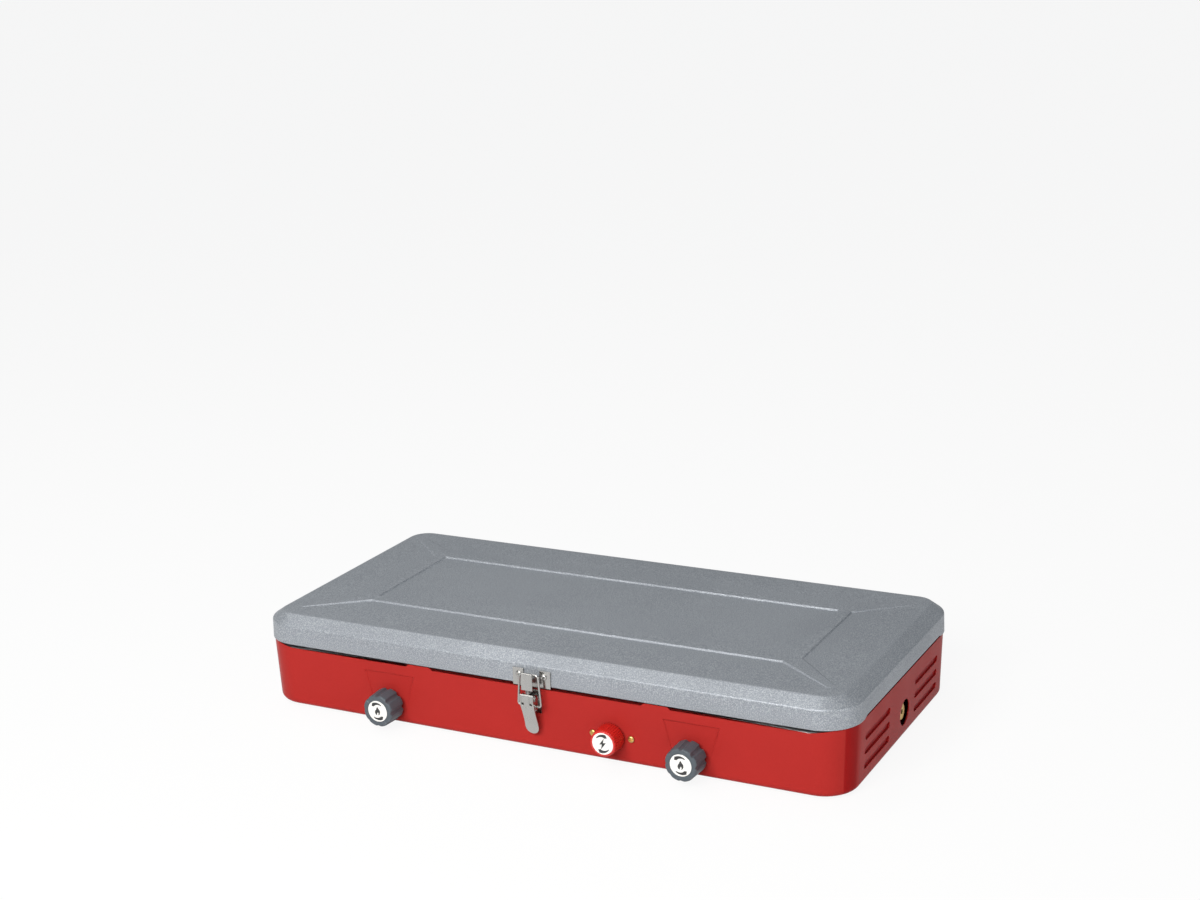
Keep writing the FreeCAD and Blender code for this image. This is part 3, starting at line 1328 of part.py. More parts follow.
def knob(tag, side):
    node = f"knob_{tag}"
    rear = "(knob_radius - knob_wall)"
    dish = "knob_length - disc_height"
    rim = "disc_radius + running_gap"
    holder = turned(node, [
        ("0", "hub_set_back"), ("hub_radius", "hub_set_back"), ("hub_radius", "knob_hollow"),
        (f"{rear} - sheet", "knob_hollow"), (rear, "0"), ("knob_radius", "0"),
        ("knob_radius", "knob_skirt"), ("knob_front", "knob_length - knob_round"),
        ("knob_face", "knob_length"), (rim, "knob_length"), (rim, dish), ("0", dish),
    ])
    flute = drawn(holder, f"{node}_flute", "XY_Plane")
    ring(flute, "(knob_radius + flute_radius - flute_depth)", "0", "flute_radius")
    repeated(holder, pocketed(holder, flute, "3 * knob_length", middle=True), "flute_count")
    bore = flatted(drawn(holder, f"{node}_bore", "XY_Plane"), STEM_BORE, STEM_FLAT)
    pocketed(holder, bore, "hub_set_back + hub_bore", against=True)
    seat(holder, node, "front", burner(side), KNOB_BACK, "knob_height")
    start = (burner(side), f"({KNOB_FRONT} + disc_height)", "knob_height")
    group(f"knob_disc_{tag}", rod(f"{node}_plate", "disc_radius", "disc_height", "front", start))
    back = f"({VALVE_SHOULDER} + stem_depth - seat_gap)"
    flat = (f"({KNOB_BACK} - hub_set_back)", "hub_bore - seat_gap")
    spindle(f"valve_stem_{tag}", burner(side), "knob_height", back, *flat)


def igniter_knob():
    node = "igniter_knob"
    hub = "(bush_radius + sheet)"
    dish = "igniter_length - disc_height"
    rim = "igniter_disc + running_gap"
    holder = turned(node, [
        ("0", "hub_set_back"), (hub, "hub_set_back"), (hub, "0"),
        ("igniter_radius - igniter_bevel", "0"), ("igniter_radius", "igniter_bevel"),
        ("igniter_front", "igniter_length - igniter_bevel"),
        ("igniter_front - igniter_bevel", "igniter_length"),
        (rim, "igniter_length"), (rim, dish), ("0", dish),
    ])
    groove = drawn(holder, f"{node}_groove", "XY_Plane")
    far = "(igniter_radius + rib_depth)"
    deep = "(igniter_front - rib_depth / 2)"
    outline(groove, [(deep, "0"), (far, "-1.5 * rib_depth"), (far, "1.5 * rib_depth")])
    pocket = pocketed(holder, groove, "2 * igniter_length - 4 * igniter_bevel", middle=True)
    repeated(holder, pocket, "rib_count")
    bore = flatted(drawn(holder, f"{node}_bore", "XY_Plane"), STEM_BORE, STEM_FLAT)
    pocketed(holder, bore, "igniter_length - 2 * disc_height", against=True)
    seat(holder, node, "front", IGNITER_X, IGNITER_BACK, "igniter_height")
    start = (IGNITER_X, f"({IGNITER_BACK} - {dish})", "igniter_height")
    plate = rod("igniter_plate", "igniter_disc", "disc_height", "front", start)
    group("igniter_disc_plate", plate)
    back = f"({IGNITER_PLATE} + spindle_depth)"
    length = "igniter_length - hub_set_back - 2 * disc_height - seat_gap"
    flat = (f"({IGNITER_BACK} - hub_set_back)", length)
    spindle("igniter_spindle", IGNITER_X, "igniter_height", back, *flat)


def igniter_body():
    low = (f"({IGNITER_X} - mount_half)", IGNITER_PLATE, "(igniter_height - mount_height / 2)")
    front = (IGNITER_X, IGNITER_PLATE, "igniter_height")
    solids = [
        block("igniter_mount", ("2 * mount_half", "mount_thickness", "mount_height"), low),
        rod("igniter_barrel", "barrel_radius", "barrel_length", "back", front),
        rod("igniter_bush", "bush_radius", "bush_length", "front", front),
    ]
    back = (IGNITER_X, f"({IGNITER_PLATE} + spindle_depth + seat_gap)", "igniter_height")
    drills = [rod("igniter_bore", STEM_BORE, "spindle_depth + 2 * bush_length", "front", back)]
    span = ("tab_thickness", "tab_length + sheet", "tab_spread")
    for tag, side in SIDES:
        corner = (
            f"({IGNITER_X} + {side} * tab_spread - tab_thickness / 2)",
            f"({IGNITER_TAIL} - sheet)",
            "(igniter_height - tab_spread / 2)",
        )
        solids.append(block(f"igniter_tab_{tag}", span, corner))
        across = f"({IGNITER_X} + {side} * igniter_screw)"
        start = (across, f"({IGNITER_PLATE} + 3 * mount_thickness)", "igniter_height")
        drills.append(rod(f"igniter_drill_{tag}", SNUG, "6 * mount_thickness", "front", start))
    keep("igniter_body", cut("igniter_cut", fuse("igniter_solid", *solids), *drills))


def igniter_screws():
    grip = "(2 * sheet + mount_thickness + 2 * seat_gap)"
    screw = turned("igniter_screw_master", [
        ("0", "head_height"), ("screw_head - head_height / 2", "head_height"),
        ("screw_head", "head_height / 2"), ("screw_head", "0"),
        ("screw_radius", "0"), ("screw_radius", f"-{grip}"), ("0", f"-{grip}"),
    ])
    spots = []
    for _, side in SIDES:
        across = f"({IGNITER_X} + {side} * igniter_screw)"
        spots.append((across, f"({IGNITER_WALL} - seat_gap)", "igniter_height"))
    copies("igniter_screws", screw, "front", spots)


def electrode(tag, side):
    node = f"electrode_{tag}"
    across = f"({burner(side)} - {side} * electrode_offset)"
    foot = "(igniter_height + boot_height / 2)"
    top = f"({BOWL_RIM} - tube_wall)"
    start = (across, "burner_back", foot)
    stick = rod(f"{node}_stick", "electrode_radius", f"({top} - {foot})", "up", start)
    start = (across, "burner_back", f"({TRAY_FLOOR} + seat_gap)")
    collar = rod(f"{node}_collar", "electrode_collar", "collar_thickness", "up", start)
    spark = f"({BOWL_RIM} + port_height)"
    reach = f"({side} * (electrode_offset - cap_radius - spark_gap))"
    line = sketch(f"{node}_path", FRONT, across, "burner_back")
    track(line, [("0", f"({top} - sheet)"), ("0", spark), (reach, spark)], "tip_bend")
    hoop = sketch(f"{node}_hoop", FLAT, across, "burner_back", f"({top} - sheet)")
    tip = swept(f"{node}_tip", line, ring(hoop, "0", "0", "electrode_tip"))
    keep(node, fuse(f"{node}_whole", stick, collar, tip))


def ignition_lead(tag, side):
    node = f"ignition_lead_{tag}"
    across = f"({burner(side)} - {side} * electrode_offset)"
    start = f"({IGNITER_X} + {side} * tab_spread)"
    back = f"({IGNITER_TAIL} + tab_length + seat_gap)"
    corners = [(start, back), (start, f"{back} + lead_start")]
    corners += [(across, "burner_back - lead_start"), (across, "burner_back")]
    path = track(sketch(f"{node}_path", FLAT, z="igniter_height"), corners, "lead_bend")
    hoop = sketch(f"{node}_hoop", FRONT, start, back, "igniter_height")
    cord = swept(f"{node}_cord", path, ring(hoop, "0", "0", "lead_radius"))
    foot = (across, "burner_back", "(igniter_height - boot_height / 2)")
    boot = rod(f"{node}_boot", "boot_radius", "boot_height", "up", foot)
    keep(node, fuse(f"{node}_whole", cord, boot))


# The draw latch.

def latch_bracket():
    node = "latch_bracket"
    holder = body(node)
    low = f"({PIVOT_Z} - bracket_below)"
    high = f"({PIVOT_Z} + bracket_above)"
    low_face = f"({wall(low)} - {BASE_Y} - running_gap)"
    high_face = f"({wall(high)} - {BASE_Y} - running_gap)"
    profile = outline(drawn(holder, f"{node}_profile", "YZ_Plane"), [
        (low_face, low), (high_face, high),
        (f"{high_face} - ear_sheet", high), (f"{low_face} - ear_sheet", low),
    ])
    padded(holder, profile, "2 * (ear_half + bracket_edge)")
    root = f"({high_face} - ear_sheet / 2)"
    corners = [(root, f"{PIVOT_Z} - ear_low"), (root, f"{PIVOT_Z} - ear_top")]
    for turn in (10, 45, 90, 135, 180, 225, 270):
        across = f"{PIVOT_Y} + ear_nose * cos({turn})"
        corners.append((across, f"{PIVOT_Z} + ear_nose * sin({turn})"))
    ears = outline(drawn(holder, f"{node}_ears", "YZ_Plane"), corners)
    padded(holder, ears, "2 * ear_half")
    gap = drawn(holder, f"{node}_gap", "YZ_Plane")
    far = f"({PIVOT_Y} - 2 * ear_nose)"
    near = "- ear_sheet - running_gap"
    outline(gap, [(f"{low_face} {near}", low), (f"{high_face} {near}", high), (far, high), (far, low)])
    pocketed(holder, gap, "2 * (ear_half - ear_sheet)", middle=True)
    bore = drawn(holder, f"{node}_bore", "YZ_Plane")
    ring(bore, PIVOT_Y, PIVOT_Z, "(pin_radius + running_gap)")
    pocketed(holder, bore, "4 * ear_half", middle=True)
    lift = f"({BASE_Y} - base_inset - sheet)"
    rivets = drawn(holder, f"{node}_rivets", "XZ_Plane", lift)
    for height in LATCH_RIVETS:
        ring(rivets, "0", height, SNUG)
    pocketed(holder, rivets, "base_inset + 4 * sheet", against=True)
    seat(holder, node, "up")


def lever_strip():
    """The lever's side view as a bent strip."""
    face = f"({PIVOT_Y} - lever_head)"
    outer = [
        (f"{face} + head_edge", f"{PIVOT_Z} + head_up + head_edge"),
        (face, f"{PIVOT_Z} + head_up"), (face, f"{PIVOT_Z} - head_down"),
        (f"{PIVOT_Y} + bend_in", f"{PIVOT_Z} - lever_bend"), (f"{PIVOT_Y} + end_in", LEVER_END),
    ]
    inner = [(f"{across} + lever_sheet", height) for across, height in outer[:0:-1]]
    inner += [(f"{face} + head_edge + lever_sheet", f"{PIVOT_Z} + head_up")]
    return outline(sketch("lever_side", SIDE), outer + inner)


def lever_front():
    """The lever's front view: shoulders, shank and rounded end, with two oval holes."""
    drawing = sketch("lever_front", FRONT, y=f"({PIVOT_Y} + 2 * lever_tip)")
    tip = f"({LEVER_END} + lever_tip)"
    half = [
        (CHEEK, f"{PIVOT_Z} + head_up + 2 * head_edge"), (CHEEK, f"{PIVOT_Z} - shoulder_low"),
        ("lever_half", f"{PIVOT_Z} - shank_top"), ("lever_half", f"{tip} + shank_low"),
        ("lever_tip", f"{tip} + wire"),
    ]
    for turn in (0, 22.5, 45, 67.5):
        half.append((f"lever_tip * cos({turn})", f"{tip} - lever_tip * sin({turn})"))
    mirrored = [(f"-{across}", height) for across, height in half[::-1]]
    outline(drawing, half + [("0", LEVER_END)] + mirrored)
    for side in (-1, 1):
        across = f"({side} * eye_spread)"
        window(drawing, across, f"({PIVOT_Z} - eye_drop)", "eye_half", "eye_tall")
    return drawing


def latch_lever():
    strip = prism("lever_bar", lever_strip(), "lever_tip + sheet", "lever_tip + sheet")
    face = common("lever_face", strip, prism("lever_cookie", lever_front(), "4 * lever_tip"))
    inside = f"{PIVOT_Y} - lever_head + lever_sheet / 2"
    cheek = outline(sketch("lever_cheek", SIDE), [
        (inside, f"{PIVOT_Z} + head_up"), (HOOK_Y, f"{PIVOT_Z} + head_up"),
        (f"{HOOK_Y} + cheek_back", PIVOT_Z), (f"{HOOK_Y} + cheek_back", HOOK_Z),
        (f"{HOOK_Y} + wire", f"{HOOK_Z} - cheek_low"), (f"{HOOK_Y} - wire", f"{HOOK_Z} - cheek_low"),
        (inside, f"{PIVOT_Z} - head_down"),
    ])
    cheeks = prism("lever_cheeks", cheek, CHEEK, CHEEK)
    corner = (f"(0 - {CHEEK_INSIDE})", f"({PIVOT_Y} - lever_head + lever_sheet)", LEVER_END)
    hollow = block("lever_hollow", (f"2 * {CHEEK_INSIDE}", "4 * lever_head", PIVOT_Z), corner)
    sides = cut("lever_sides", cheeks, hollow)
    bores = []
    rows = (("pivot", "pin_radius", PIVOT_Y, PIVOT_Z), ("hook", "wire", HOOK_Y, HOOK_Z))
    for name, radius, across, height in rows:
        start = (f"(0 - 2 * {CHEEK})", across, height)
        reach = f"({radius} + running_gap)"
        bores.append(rod(f"lever_{name}_bore", reach, f"4 * {CHEEK}", "right", start))
    keep("latch_lever", cut("lever_cut", fuse("lever_whole", face, sides), *bores))


def latch_pin():
    """The lever's pivot pin with a head at each end."""
    inner = "pin_head_height"
    outer = f"(pin_head_height + 2 * {CHEEK} + 4 * running_gap)"
    holder = turned("latch_pin", [
        ("0", "0"), ("pin_head", "0"), ("pin_head", inner), ("pin_radius", inner),
        ("pin_radius", outer), ("pin_head", outer),
        ("pin_head", f"{outer} + pin_head_height"), ("0", f"{outer} + pin_head_height"),
    ])
    across = f"(0 - {CHEEK} - 2 * running_gap - pin_head_height)"
    seat(holder, "latch_pin", "right", across, PIVOT_Y, PIVOT_Z)


def latch_bail():
    top = f"{HOOK_Z} + bail_rise"
    path = track(sketch("bail_path", FRONT, y=HOOK_Y), [
        (f"-{CHEEK_INSIDE}", HOOK_Z), ("-bail_half", HOOK_Z), ("-bail_top_half", top),
        ("bail_top_half", top), ("bail_half", HOOK_Z), (CHEEK_INSIDE, HOOK_Z),
    ], "bail_bend")
    hoop = sketch("bail_hoop", SIDE, f"(0 - {CHEEK_INSIDE})", HOOK_Y, HOOK_Z)
    keep("latch_bail", swept("bail_wire", path, ring(hoop, "0", "0", "wire")))


def catch_plate():
    node = "catch_plate"
    holder = body(node)
    front = drawn(holder, f"{node}_front", "XZ_Plane", f"({LID_Y} + running_gap)")
    gap = "(catch_half + notch_gap)"
    low = f"{LID_EDGE} - plate_low"
    high = f"{LID_EDGE} + plate_high"
    floor = f"{LID_EDGE} + plate_floor"
    corners = [("plate_half", low), ("plate_half", high), (gap, high), (gap, floor)]
    corners += [(f"-{across}", height) for across, height in corners[::-1]]
    padded(holder, outline(front, corners), "sheet", middle=False)
    inside = f"(0 - {LID_Y} - running_gap)"
    plate = f"({inside} - sheet)"
    lip = f"(0 - {BASE_Y} - catch_out)"
    face = f"({lip} - catch_sheet)"
    flap = f"({face} - roll / 2)"
    under = f"{SHELF} - catch_sheet"
    top = f"({SHELF} + lip_height)"
    end = f"{LID_EDGE} - catch_flap"
    tongue = [(inside, f"{floor} - sheet"), (plate, f"{floor} - sheet"), (plate, under)]
    tongue += [(face, under), (face, top), (flap, top), (flap, end)]
    tongue += [(f"{flap} - catch_sheet", end), (f"{flap} - catch_sheet", top)]
    tongue += [(f"{flap} - catch_sheet + roll", f"{top} + roll"), (f"{lip} - roll", f"{top} + roll")]
    tongue += [(lip, top), (lip, SHELF), (inside, SHELF)]
    padded(holder, outline(drawn(holder, f"{node}_tongue", "YZ_Plane"), tongue), "2 * catch_half")
    holes = drawn(holder, f"{node}_holes", "XZ_Plane", f"({LID_Y} - sheet)")
    for side in (-1, 1):
        ring(holes, f"{side} * catch_spread", CATCH_RIVET, SNUG)
    pocketed(holder, holes, "4 * sheet", against=True)
    seat(holder, node, "up")


# Hinges at the back.

def leaf_holes(holder, node, near, height):
    """The pin bore and the two rivet holes of a hinge leaf."""
    bore = drawn(holder, f"{node}_bore", "YZ_Plane")
    ring(bore, HINGE_Y, HINGE_Z, "(hinge_pin + running_gap)")
    pocketed(holder, bore, "4 * hinge_half", middle=True)
    rivets = drawn(holder, f"{node}_rivets", "XZ_Plane", f"(0 - {near} - 3 * leaf)")
    for row in (-1, 1):
        ring(rivets, f"{row} * hinge_rivet", height, SNUG)
    pocketed(holder, rivets, "6 * leaf + base_inset", against=True)


def base_leaf(tag, side):
    """The leaf on the base, with a knuckle at each end."""
    node = f"hinge_base_leaf_{tag}"
    holder = body(node)
    low = f"({HINGE_Z} - leaf_reach)"
    high = f"({HINGE_Z} - knuckle_radius)"
    low_face = f"({BASE_Y} - {wall(low)} + running_gap)"
    high_face = f"({BASE_Y} - {wall(high)} + running_gap)"
    plate = outline(drawn(holder, f"{node}_plate", "YZ_Plane"), [
        (low_face, low), (f"{low_face} + leaf", low), (f"{high_face} + leaf", high), (high_face, high),
    ])
    padded(holder, plate, "2 * hinge_half")
    inner = "(hinge_middle + knuckle_gap)"
    for name, end in SIDES:
        lift = f"({end} * {inner})"
        web = outline(drawn(holder, f"{node}_web_{name}", "YZ_Plane", lift), [
            (high_face, high), (f"{HINGE_Y} - leaf", f"{HINGE_Z} - leaf"),
            (f"{HINGE_Y} + leaf", f"{HINGE_Z} - 2 * leaf"),
            (f"{high_face} + leaf", f"{high} - 2 * leaf"), (high_face, f"{high} - 2 * leaf"),
        ])
        padded(holder, web, f"hinge_half - {inner}", middle=False, against=end < 0)
        barrel = drawn(holder, f"{node}_barrel_{name}", "YZ_Plane", lift)
        ring(barrel, HINGE_Y, HINGE_Z, "knuckle_radius")
        padded(holder, barrel, f"hinge_half - {inner}", middle=False, against=end < 0)
    leaf_holes(holder, node, BASE_Y, LOW_RIVET)
    seat(holder, node, "up", f"{side} * hinge_spacing / 2")


def lid_leaf(tag, side):
    """The leaf on the lid, with the middle knuckle and the heel that stops the lid."""
    node = f"hinge_lid_leaf_{tag}"
    holder = body(node)
    near = f"({LID_Y} + running_gap)"
    low = f"({HINGE_Z} + knuckle_radius)"
    high = f"({HINGE_Z} + leaf_reach)"
    profile = outline(drawn(holder, f"{node}_profile", "YZ_Plane"), [
        (near, low), (f"{near} + leaf", low), (f"{near} + leaf", high), (near, high),
    ])
    padded(holder, profile, "2 * hinge_half")
    web = outline(drawn(holder, f"{node}_web", "YZ_Plane"), [
        (near, f"{low} - leaf / 2"), (f"{HINGE_Y} - leaf", f"{HINGE_Z} + leaf"),
        (f"{HINGE_Y} + leaf", f"{HINGE_Z} + 2 * leaf"),
        (f"{near} + leaf", f"{low} + 1.5 * leaf"), (near, f"{low} + 1.5 * leaf"),
    ])
    padded(holder, web, "2 * hinge_middle")
    barrel = ring(drawn(holder, f"{node}_barrel", "YZ_Plane"), HINGE_Y, HINGE_Z, "knuckle_radius")
    padded(holder, barrel, "2 * hinge_middle")
    heel = drawn(holder, f"{node}_heel", "YZ_Plane")
    drive(heel, "AttachmentOffset.Base.x", HINGE_Y)
    drive(heel, "AttachmentOffset.Base.y", HINGE_Z)
    drive(heel, "AttachmentOffset.Rotation.Angle", "lid_opening")
    outline(heel, [
        ("0", "0"), (f"-{HEEL_FACE}", "heel_thickness - heel_drop"), (f"-{HEEL_FACE}", "-heel_drop"),
        (f"heel_thickness - {HEEL_FACE}", "-heel_drop"), ("heel_thickness / 2", "-knuckle_radius / 2"),
    ])
    padded(holder, heel, "2 * hinge_middle")
    leaf_holes(holder, node, LID_Y, HIGH_RIVET)
    seat(holder, node, "up", f"{side} * hinge_spacing / 2")


def hinge_pins():
    pins = []
    for tag, side in SIDES:
        start = (f"({side} * hinge_spacing / 2 - hinge_half)", HINGE_Y, HINGE_Z)
        pins.append(rod(f"hinge_pin_{tag}", "hinge_pin", "2 * hinge_half", "right", start))
    group("hinge_pins", *pins)


# Rivets, one group for each pair of pieces that they join.

def rivet_group(node, grip, way, spots):
    """Rivets with a domed head outside and a flat upset end inside."""
    deep = f"-({grip})"
    master = turned(f"{node}_master", [
        ("0", "head_height"), ("screw_head / 2", "head_height"), ("screw_head", "head_height / 3"),
        ("screw_head", "0"), ("screw_radius", "0"), ("screw_radius", deep), ("upset_radius", deep),
        ("upset_radius", f"{deep} - head_height / 2"), ("0", f"{deep} - head_height / 2"),
    ])
    copies(node, master, way, spots)


def all_rivets():
    spots = [(across, along, "(foot_height - running_gap)") for across, along in FLOOR_RIVETS]
    rivet_group("floor_rivets", "sheet + bracket_sheet + 2 * running_gap", "down", spots)
    out = f"(0 - {LID_Y} - 2 * running_gap - sheet)"
    spots = [(f"{side} * catch_spread", out, CATCH_RIVET) for side in (-1, 1)]
    rivet_group("catch_rivets", "2 * sheet + skirt_draft + 3 * running_gap", "front", spots)
    spots = []
    for height in LATCH_RIVETS:
        out = f"({wall(height)} - {BASE_Y} - 2 * running_gap - ear_sheet - {LEAN})"
        spots.append(("0", out, height))
    rivet_group("latch_rivets", f"sheet + ear_sheet + 3 * running_gap + 2 * {LEAN}", "front", spots)
    out = f"({LID_Y} + leaf + 2 * running_gap)"
    spots = [(across, out, HIGH_RIVET) for across in HINGE_RIVETS]
    rivet_group("hinge_lid_rivets", "sheet + leaf + skirt_draft + 3 * running_gap", "back", spots)
    out = f"({BASE_Y} - {wall(LOW_RIVET)} + leaf + 2 * running_gap + {LEAN})"
    spots = [(across, out, LOW_RIVET) for across in HINGE_RIVETS]
    rivet_group("hinge_base_rivets", f"sheet + leaf + 3 * running_gap + 2 * {LEAN}", "back", spots)


base_shell()
rubber_feet()
lid_shell()
drip_tray()
pan_grate()
for tag, side in SIDES:
    burner_bracket(tag, side)
    burner_body(tag, side)
    burner_cap(tag, side)
    mixing_tube(tag, side)
    gas_jet(tag, side)
    gas_valve(tag, side)
    knob(tag, side)
    electrode(tag, side)
    ignition_lead(tag, side)
    base_leaf(tag, side)
    lid_leaf(tag, side)
burner_screws()
valve_nuts()
manifold_pipe()
inlet_fitting()
inlet_bracket()
inlet_nut()
igniter_body()
igniter_screws()
igniter_knob()
latch_bracket()
latch_lever()
latch_pin()
latch_bail()
catch_plate()
hinge_pins()
all_rivets()
document.recompute()

for thing in document.Objects:
    if "Invalid" in thing.State or "Error" in thing.State:
        raise RuntimeError(f"{thing.Label} is {thing.State}")
for node, thing in parts.items():
    if thing.Shape.isNull() or not thing.Shape.isValid() or not thing.Shape.Solids:
        raise RuntimeError(f"{node} has no sound shape")

os.makedirs("parts", exist_ok=True)
for node, thing in parts.items():
    thing.Shape.exportStep(f"parts/{node}.step")
    print(f"{node}: {len(thing.Shape.Solids)} solid, {thing.Shape.Volume:.0f} cubic mm")
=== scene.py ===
"""Finishes a shut two-burner camping stove: lid, base, knobs, latch, fasteners and wires.

Lengths in the code are millimetres in the stove's own layout; spot() turns them into
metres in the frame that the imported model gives.
"""

import json
import math

import bmesh
import bpy
import numpy as np
from bpy.props import FloatProperty, FloatVectorProperty, IntProperty, PointerProperty
from mathutils import Matrix, Vector


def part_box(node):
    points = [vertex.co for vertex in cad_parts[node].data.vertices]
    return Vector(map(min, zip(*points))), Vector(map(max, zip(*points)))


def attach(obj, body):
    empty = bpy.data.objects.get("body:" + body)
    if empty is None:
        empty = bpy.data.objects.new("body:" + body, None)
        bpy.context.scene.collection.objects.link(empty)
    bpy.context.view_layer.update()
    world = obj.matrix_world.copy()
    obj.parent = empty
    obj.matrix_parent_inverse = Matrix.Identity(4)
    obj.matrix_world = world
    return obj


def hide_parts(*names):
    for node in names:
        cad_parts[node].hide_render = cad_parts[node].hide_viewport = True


bl_info = {
    "name": "Camping Stove Finisher",
    "version": (1, 0, 0),
    "blender": (4, 5, 0),
    "location": "3D View > Sidebar > Stove",
    "description": "Dresses a two-burner folding stove with pressed, moulded and wire pieces",
    "category": "Object",
}

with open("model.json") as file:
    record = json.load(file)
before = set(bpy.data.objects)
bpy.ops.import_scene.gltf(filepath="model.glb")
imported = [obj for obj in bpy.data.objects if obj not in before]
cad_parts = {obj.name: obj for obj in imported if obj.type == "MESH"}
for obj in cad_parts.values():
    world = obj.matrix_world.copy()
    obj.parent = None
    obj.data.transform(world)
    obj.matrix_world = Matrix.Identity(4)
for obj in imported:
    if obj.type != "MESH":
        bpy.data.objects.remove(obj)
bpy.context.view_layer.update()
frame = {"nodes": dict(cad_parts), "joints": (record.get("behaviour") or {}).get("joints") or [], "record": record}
NODES = frame["nodes"]
SLOTS = {row["node"]: row["material_slot"] for row in frame["record"]["subparts"]}
JOINTS = {joint["name"]: Vector(joint["pos_m"]) * 1000 for joint in frame["joints"]}
SHIFT = JOINTS["lid_hinge"].y - 133.2

# The lid, in millimetres: half its outline, the heights of its lines and how far inside the
# outline they run, and the rise of its top from the shoulder to the pressed frame.
LID_X, LID_Y, LID_CORNER = 270.0, 130.0, 32.0
LID_EDGE, CREASE, SHOULDER = 59.0, 75.6, 82.9
CREASE_INSET, SHOULDER_INSET, SHOULDER_CORNER, CORNER_END = 0.4, 11.7, 16.0, 20.0
CROWN, SHEET = 2.2, 1.0

# Half the pressed frame, the width of its band, and the middle and half width of an arm's end.
FRAME_X, FRAME_Y, BAND = 204.0, 68.0, 12.0
ARM_X, ARM_Y, ARM_HALF = 245.0, 99.5, 2.5

# Half the grid of the lid's top, its spacing, and the insets of the two rings that follow it.
GRID_X, GRID_Y, GRID_TURN = 250.0, 110.0, 22.0
COARSE, FINE = 7.0, 1.2
TOP_INSETS = (18.4, 17.0)

# Where the lid's edge arches up: beyond ARCH_FROM, as far as ARCH_END from the middle of an
# end, over ARCH_RUN.
ARCH_FROM, ARCH_END, ARCH_RUN = 255.0, 96.0, 8.0

# The base's rim and front wall, and a knob's recess in it: its middle, half its width, the
# heights it lies between, and the radius round the middle that is left out.
RIM, FRONT = 58.5, -121.0
KNOB_X, KNOB_Z = 139.0, 20.5
RECESS_HALF, RECESS_LOW, RECESS_HIGH, RECESS_CLEAR = 27.0, 9.0, 49.0, 12.5

# The tray's flat edge: where it begins, how far it is drawn out and settled, and its rounding.
TRAY_X, TRAY_Y, TRAY_Z = 262.0, 122.0, 54.9
TRAY_OUT, TRAY_DOWN = 0.4, -0.55
TRAY_ROUND = 0.0003

# The knobs: a flute's radius and how far from the axis it is centred, and the height of a
# disc's seat and of its print above the knob's front.
FLUTE, FLUTE_FROM = 2.3, 14.9
DISC_SEAT, PRINT_SEAT = 0.88, 0.115

# Where the photograph was taken from, the camera's turns in degrees, and the stage's lamps:
# place and aim in metres, width, and share of the key light's power.
CAMERA = (745.8, -1433.1, 673.7)
CAMERA_TURNS = ((27.444, "Z"), (90 - 15.657, "X"), (-2.048, "Z"))
LAMPS = (
    ("key", (0.1, -1.6, 1.1), (0, 0, 0.05), 1.3, 1.0),
    ("top", (-0.64, -0.12, 1.7), (0, -0.12, 0.08), 1.5, 0.24),
    ("side", (1.7, -0.5, 0.3), (0.2, 0, 0.05), 1.0, 0.13),
)

# The four corners of a rectangle about the middle, in order.
CORNERS = ((-1, -1), (1, -1), (1, 1), (-1, 1))


def spot(x, y, z):
    """A place in the stove's layout, in metres."""
    return Vector((x, y + SHIFT, z)) / 1000


# Sizes and colours that a user would change.


class StoveLidSettings(bpy.types.PropertyGroup):
    """Shape and coat of the pressed lid."""

    shoulder_round: FloatProperty(
        name="Shoulder rounding", default=0.0045, unit="LENGTH",
        description="Radius where the lid's top turns into its bevel")
    crease_round: FloatProperty(
        name="Crease rounding", default=0.0022, unit="LENGTH",
        description="Radius where the bevel turns into the skirt")
    step_width: FloatProperty(
        name="Step width", default=0.001, unit="LENGTH",
        description="Width of the slope beside the pressed frame")
    panel_drop: FloatProperty(
        name="Panel drop", default=0.0013, unit="LENGTH",
        description="How far the flat panels lie below the pressed frame")
    coat: FloatVectorProperty(
        name="Coat", subtype="COLOR", size=3, min=0, max=1, default=(0.247, 0.268, 0.298),
        description="Colour of the powder coat")
    flecks: FloatVectorProperty(
        name="Flecks", subtype="COLOR", size=3, min=0, max=1, default=(0.48, 0.51, 0.545),
        description="Colour of the pale grains in the coat")
    grain: FloatProperty(
        name="Grain size", default=0.0009, unit="LENGTH",
        description="Size of the grains in the coat")
    end_arch: FloatProperty(
        name="End arch", default=0.0017, unit="LENGTH",
        description="How far the lid's edge arches up at its two ends")


class StoveBaseSettings(bpy.types.PropertyGroup):
    """Finish of the enamelled base."""

    edge_round: FloatProperty(
        name="Edge rounding", default=0.00035, unit="LENGTH",
        description="Radius of the pressed edges")
    recess_round: FloatProperty(
        name="Recess rounding", default=0.0009, unit="LENGTH",
        description="Radius round the recess behind each knob")
    enamel: FloatVectorProperty(
        name="Enamel", subtype="COLOR", size=3, min=0, max=1, default=(0.37, 0.024, 0.021),
        description="Colour of the red enamel")
    deep_enamel: FloatVectorProperty(
        name="Deep enamel", subtype="COLOR", size=3, min=0, max=1, default=(0.33, 0.02, 0.017),
        description="Colour of the enamel where it lies thicker")


class StoveKnobSettings(bpy.types.PropertyGroup):
    """Shape and colour of the burner knobs and the igniter knob."""

    flute_soft: FloatProperty(
        name="Flute softness", default=0.0006, unit="LENGTH",
        description="Rounding between a flute and the lobe beside it")
    rib_count: IntProperty(
        name="Ribs", default=36, min=6, max=60,
        description="Grip ribs round the igniter knob")
    slate: FloatVectorProperty(
        name="Slate", subtype="COLOR", size=3, min=0, max=1, default=(0.06, 0.075, 0.09),
        description="Colour of the burner knobs")
    red: FloatVectorProperty(
        name="Red", subtype="COLOR", size=3, min=0, max=1, default=(0.56, 0.016, 0.011),
        description="Colour of the igniter knob")


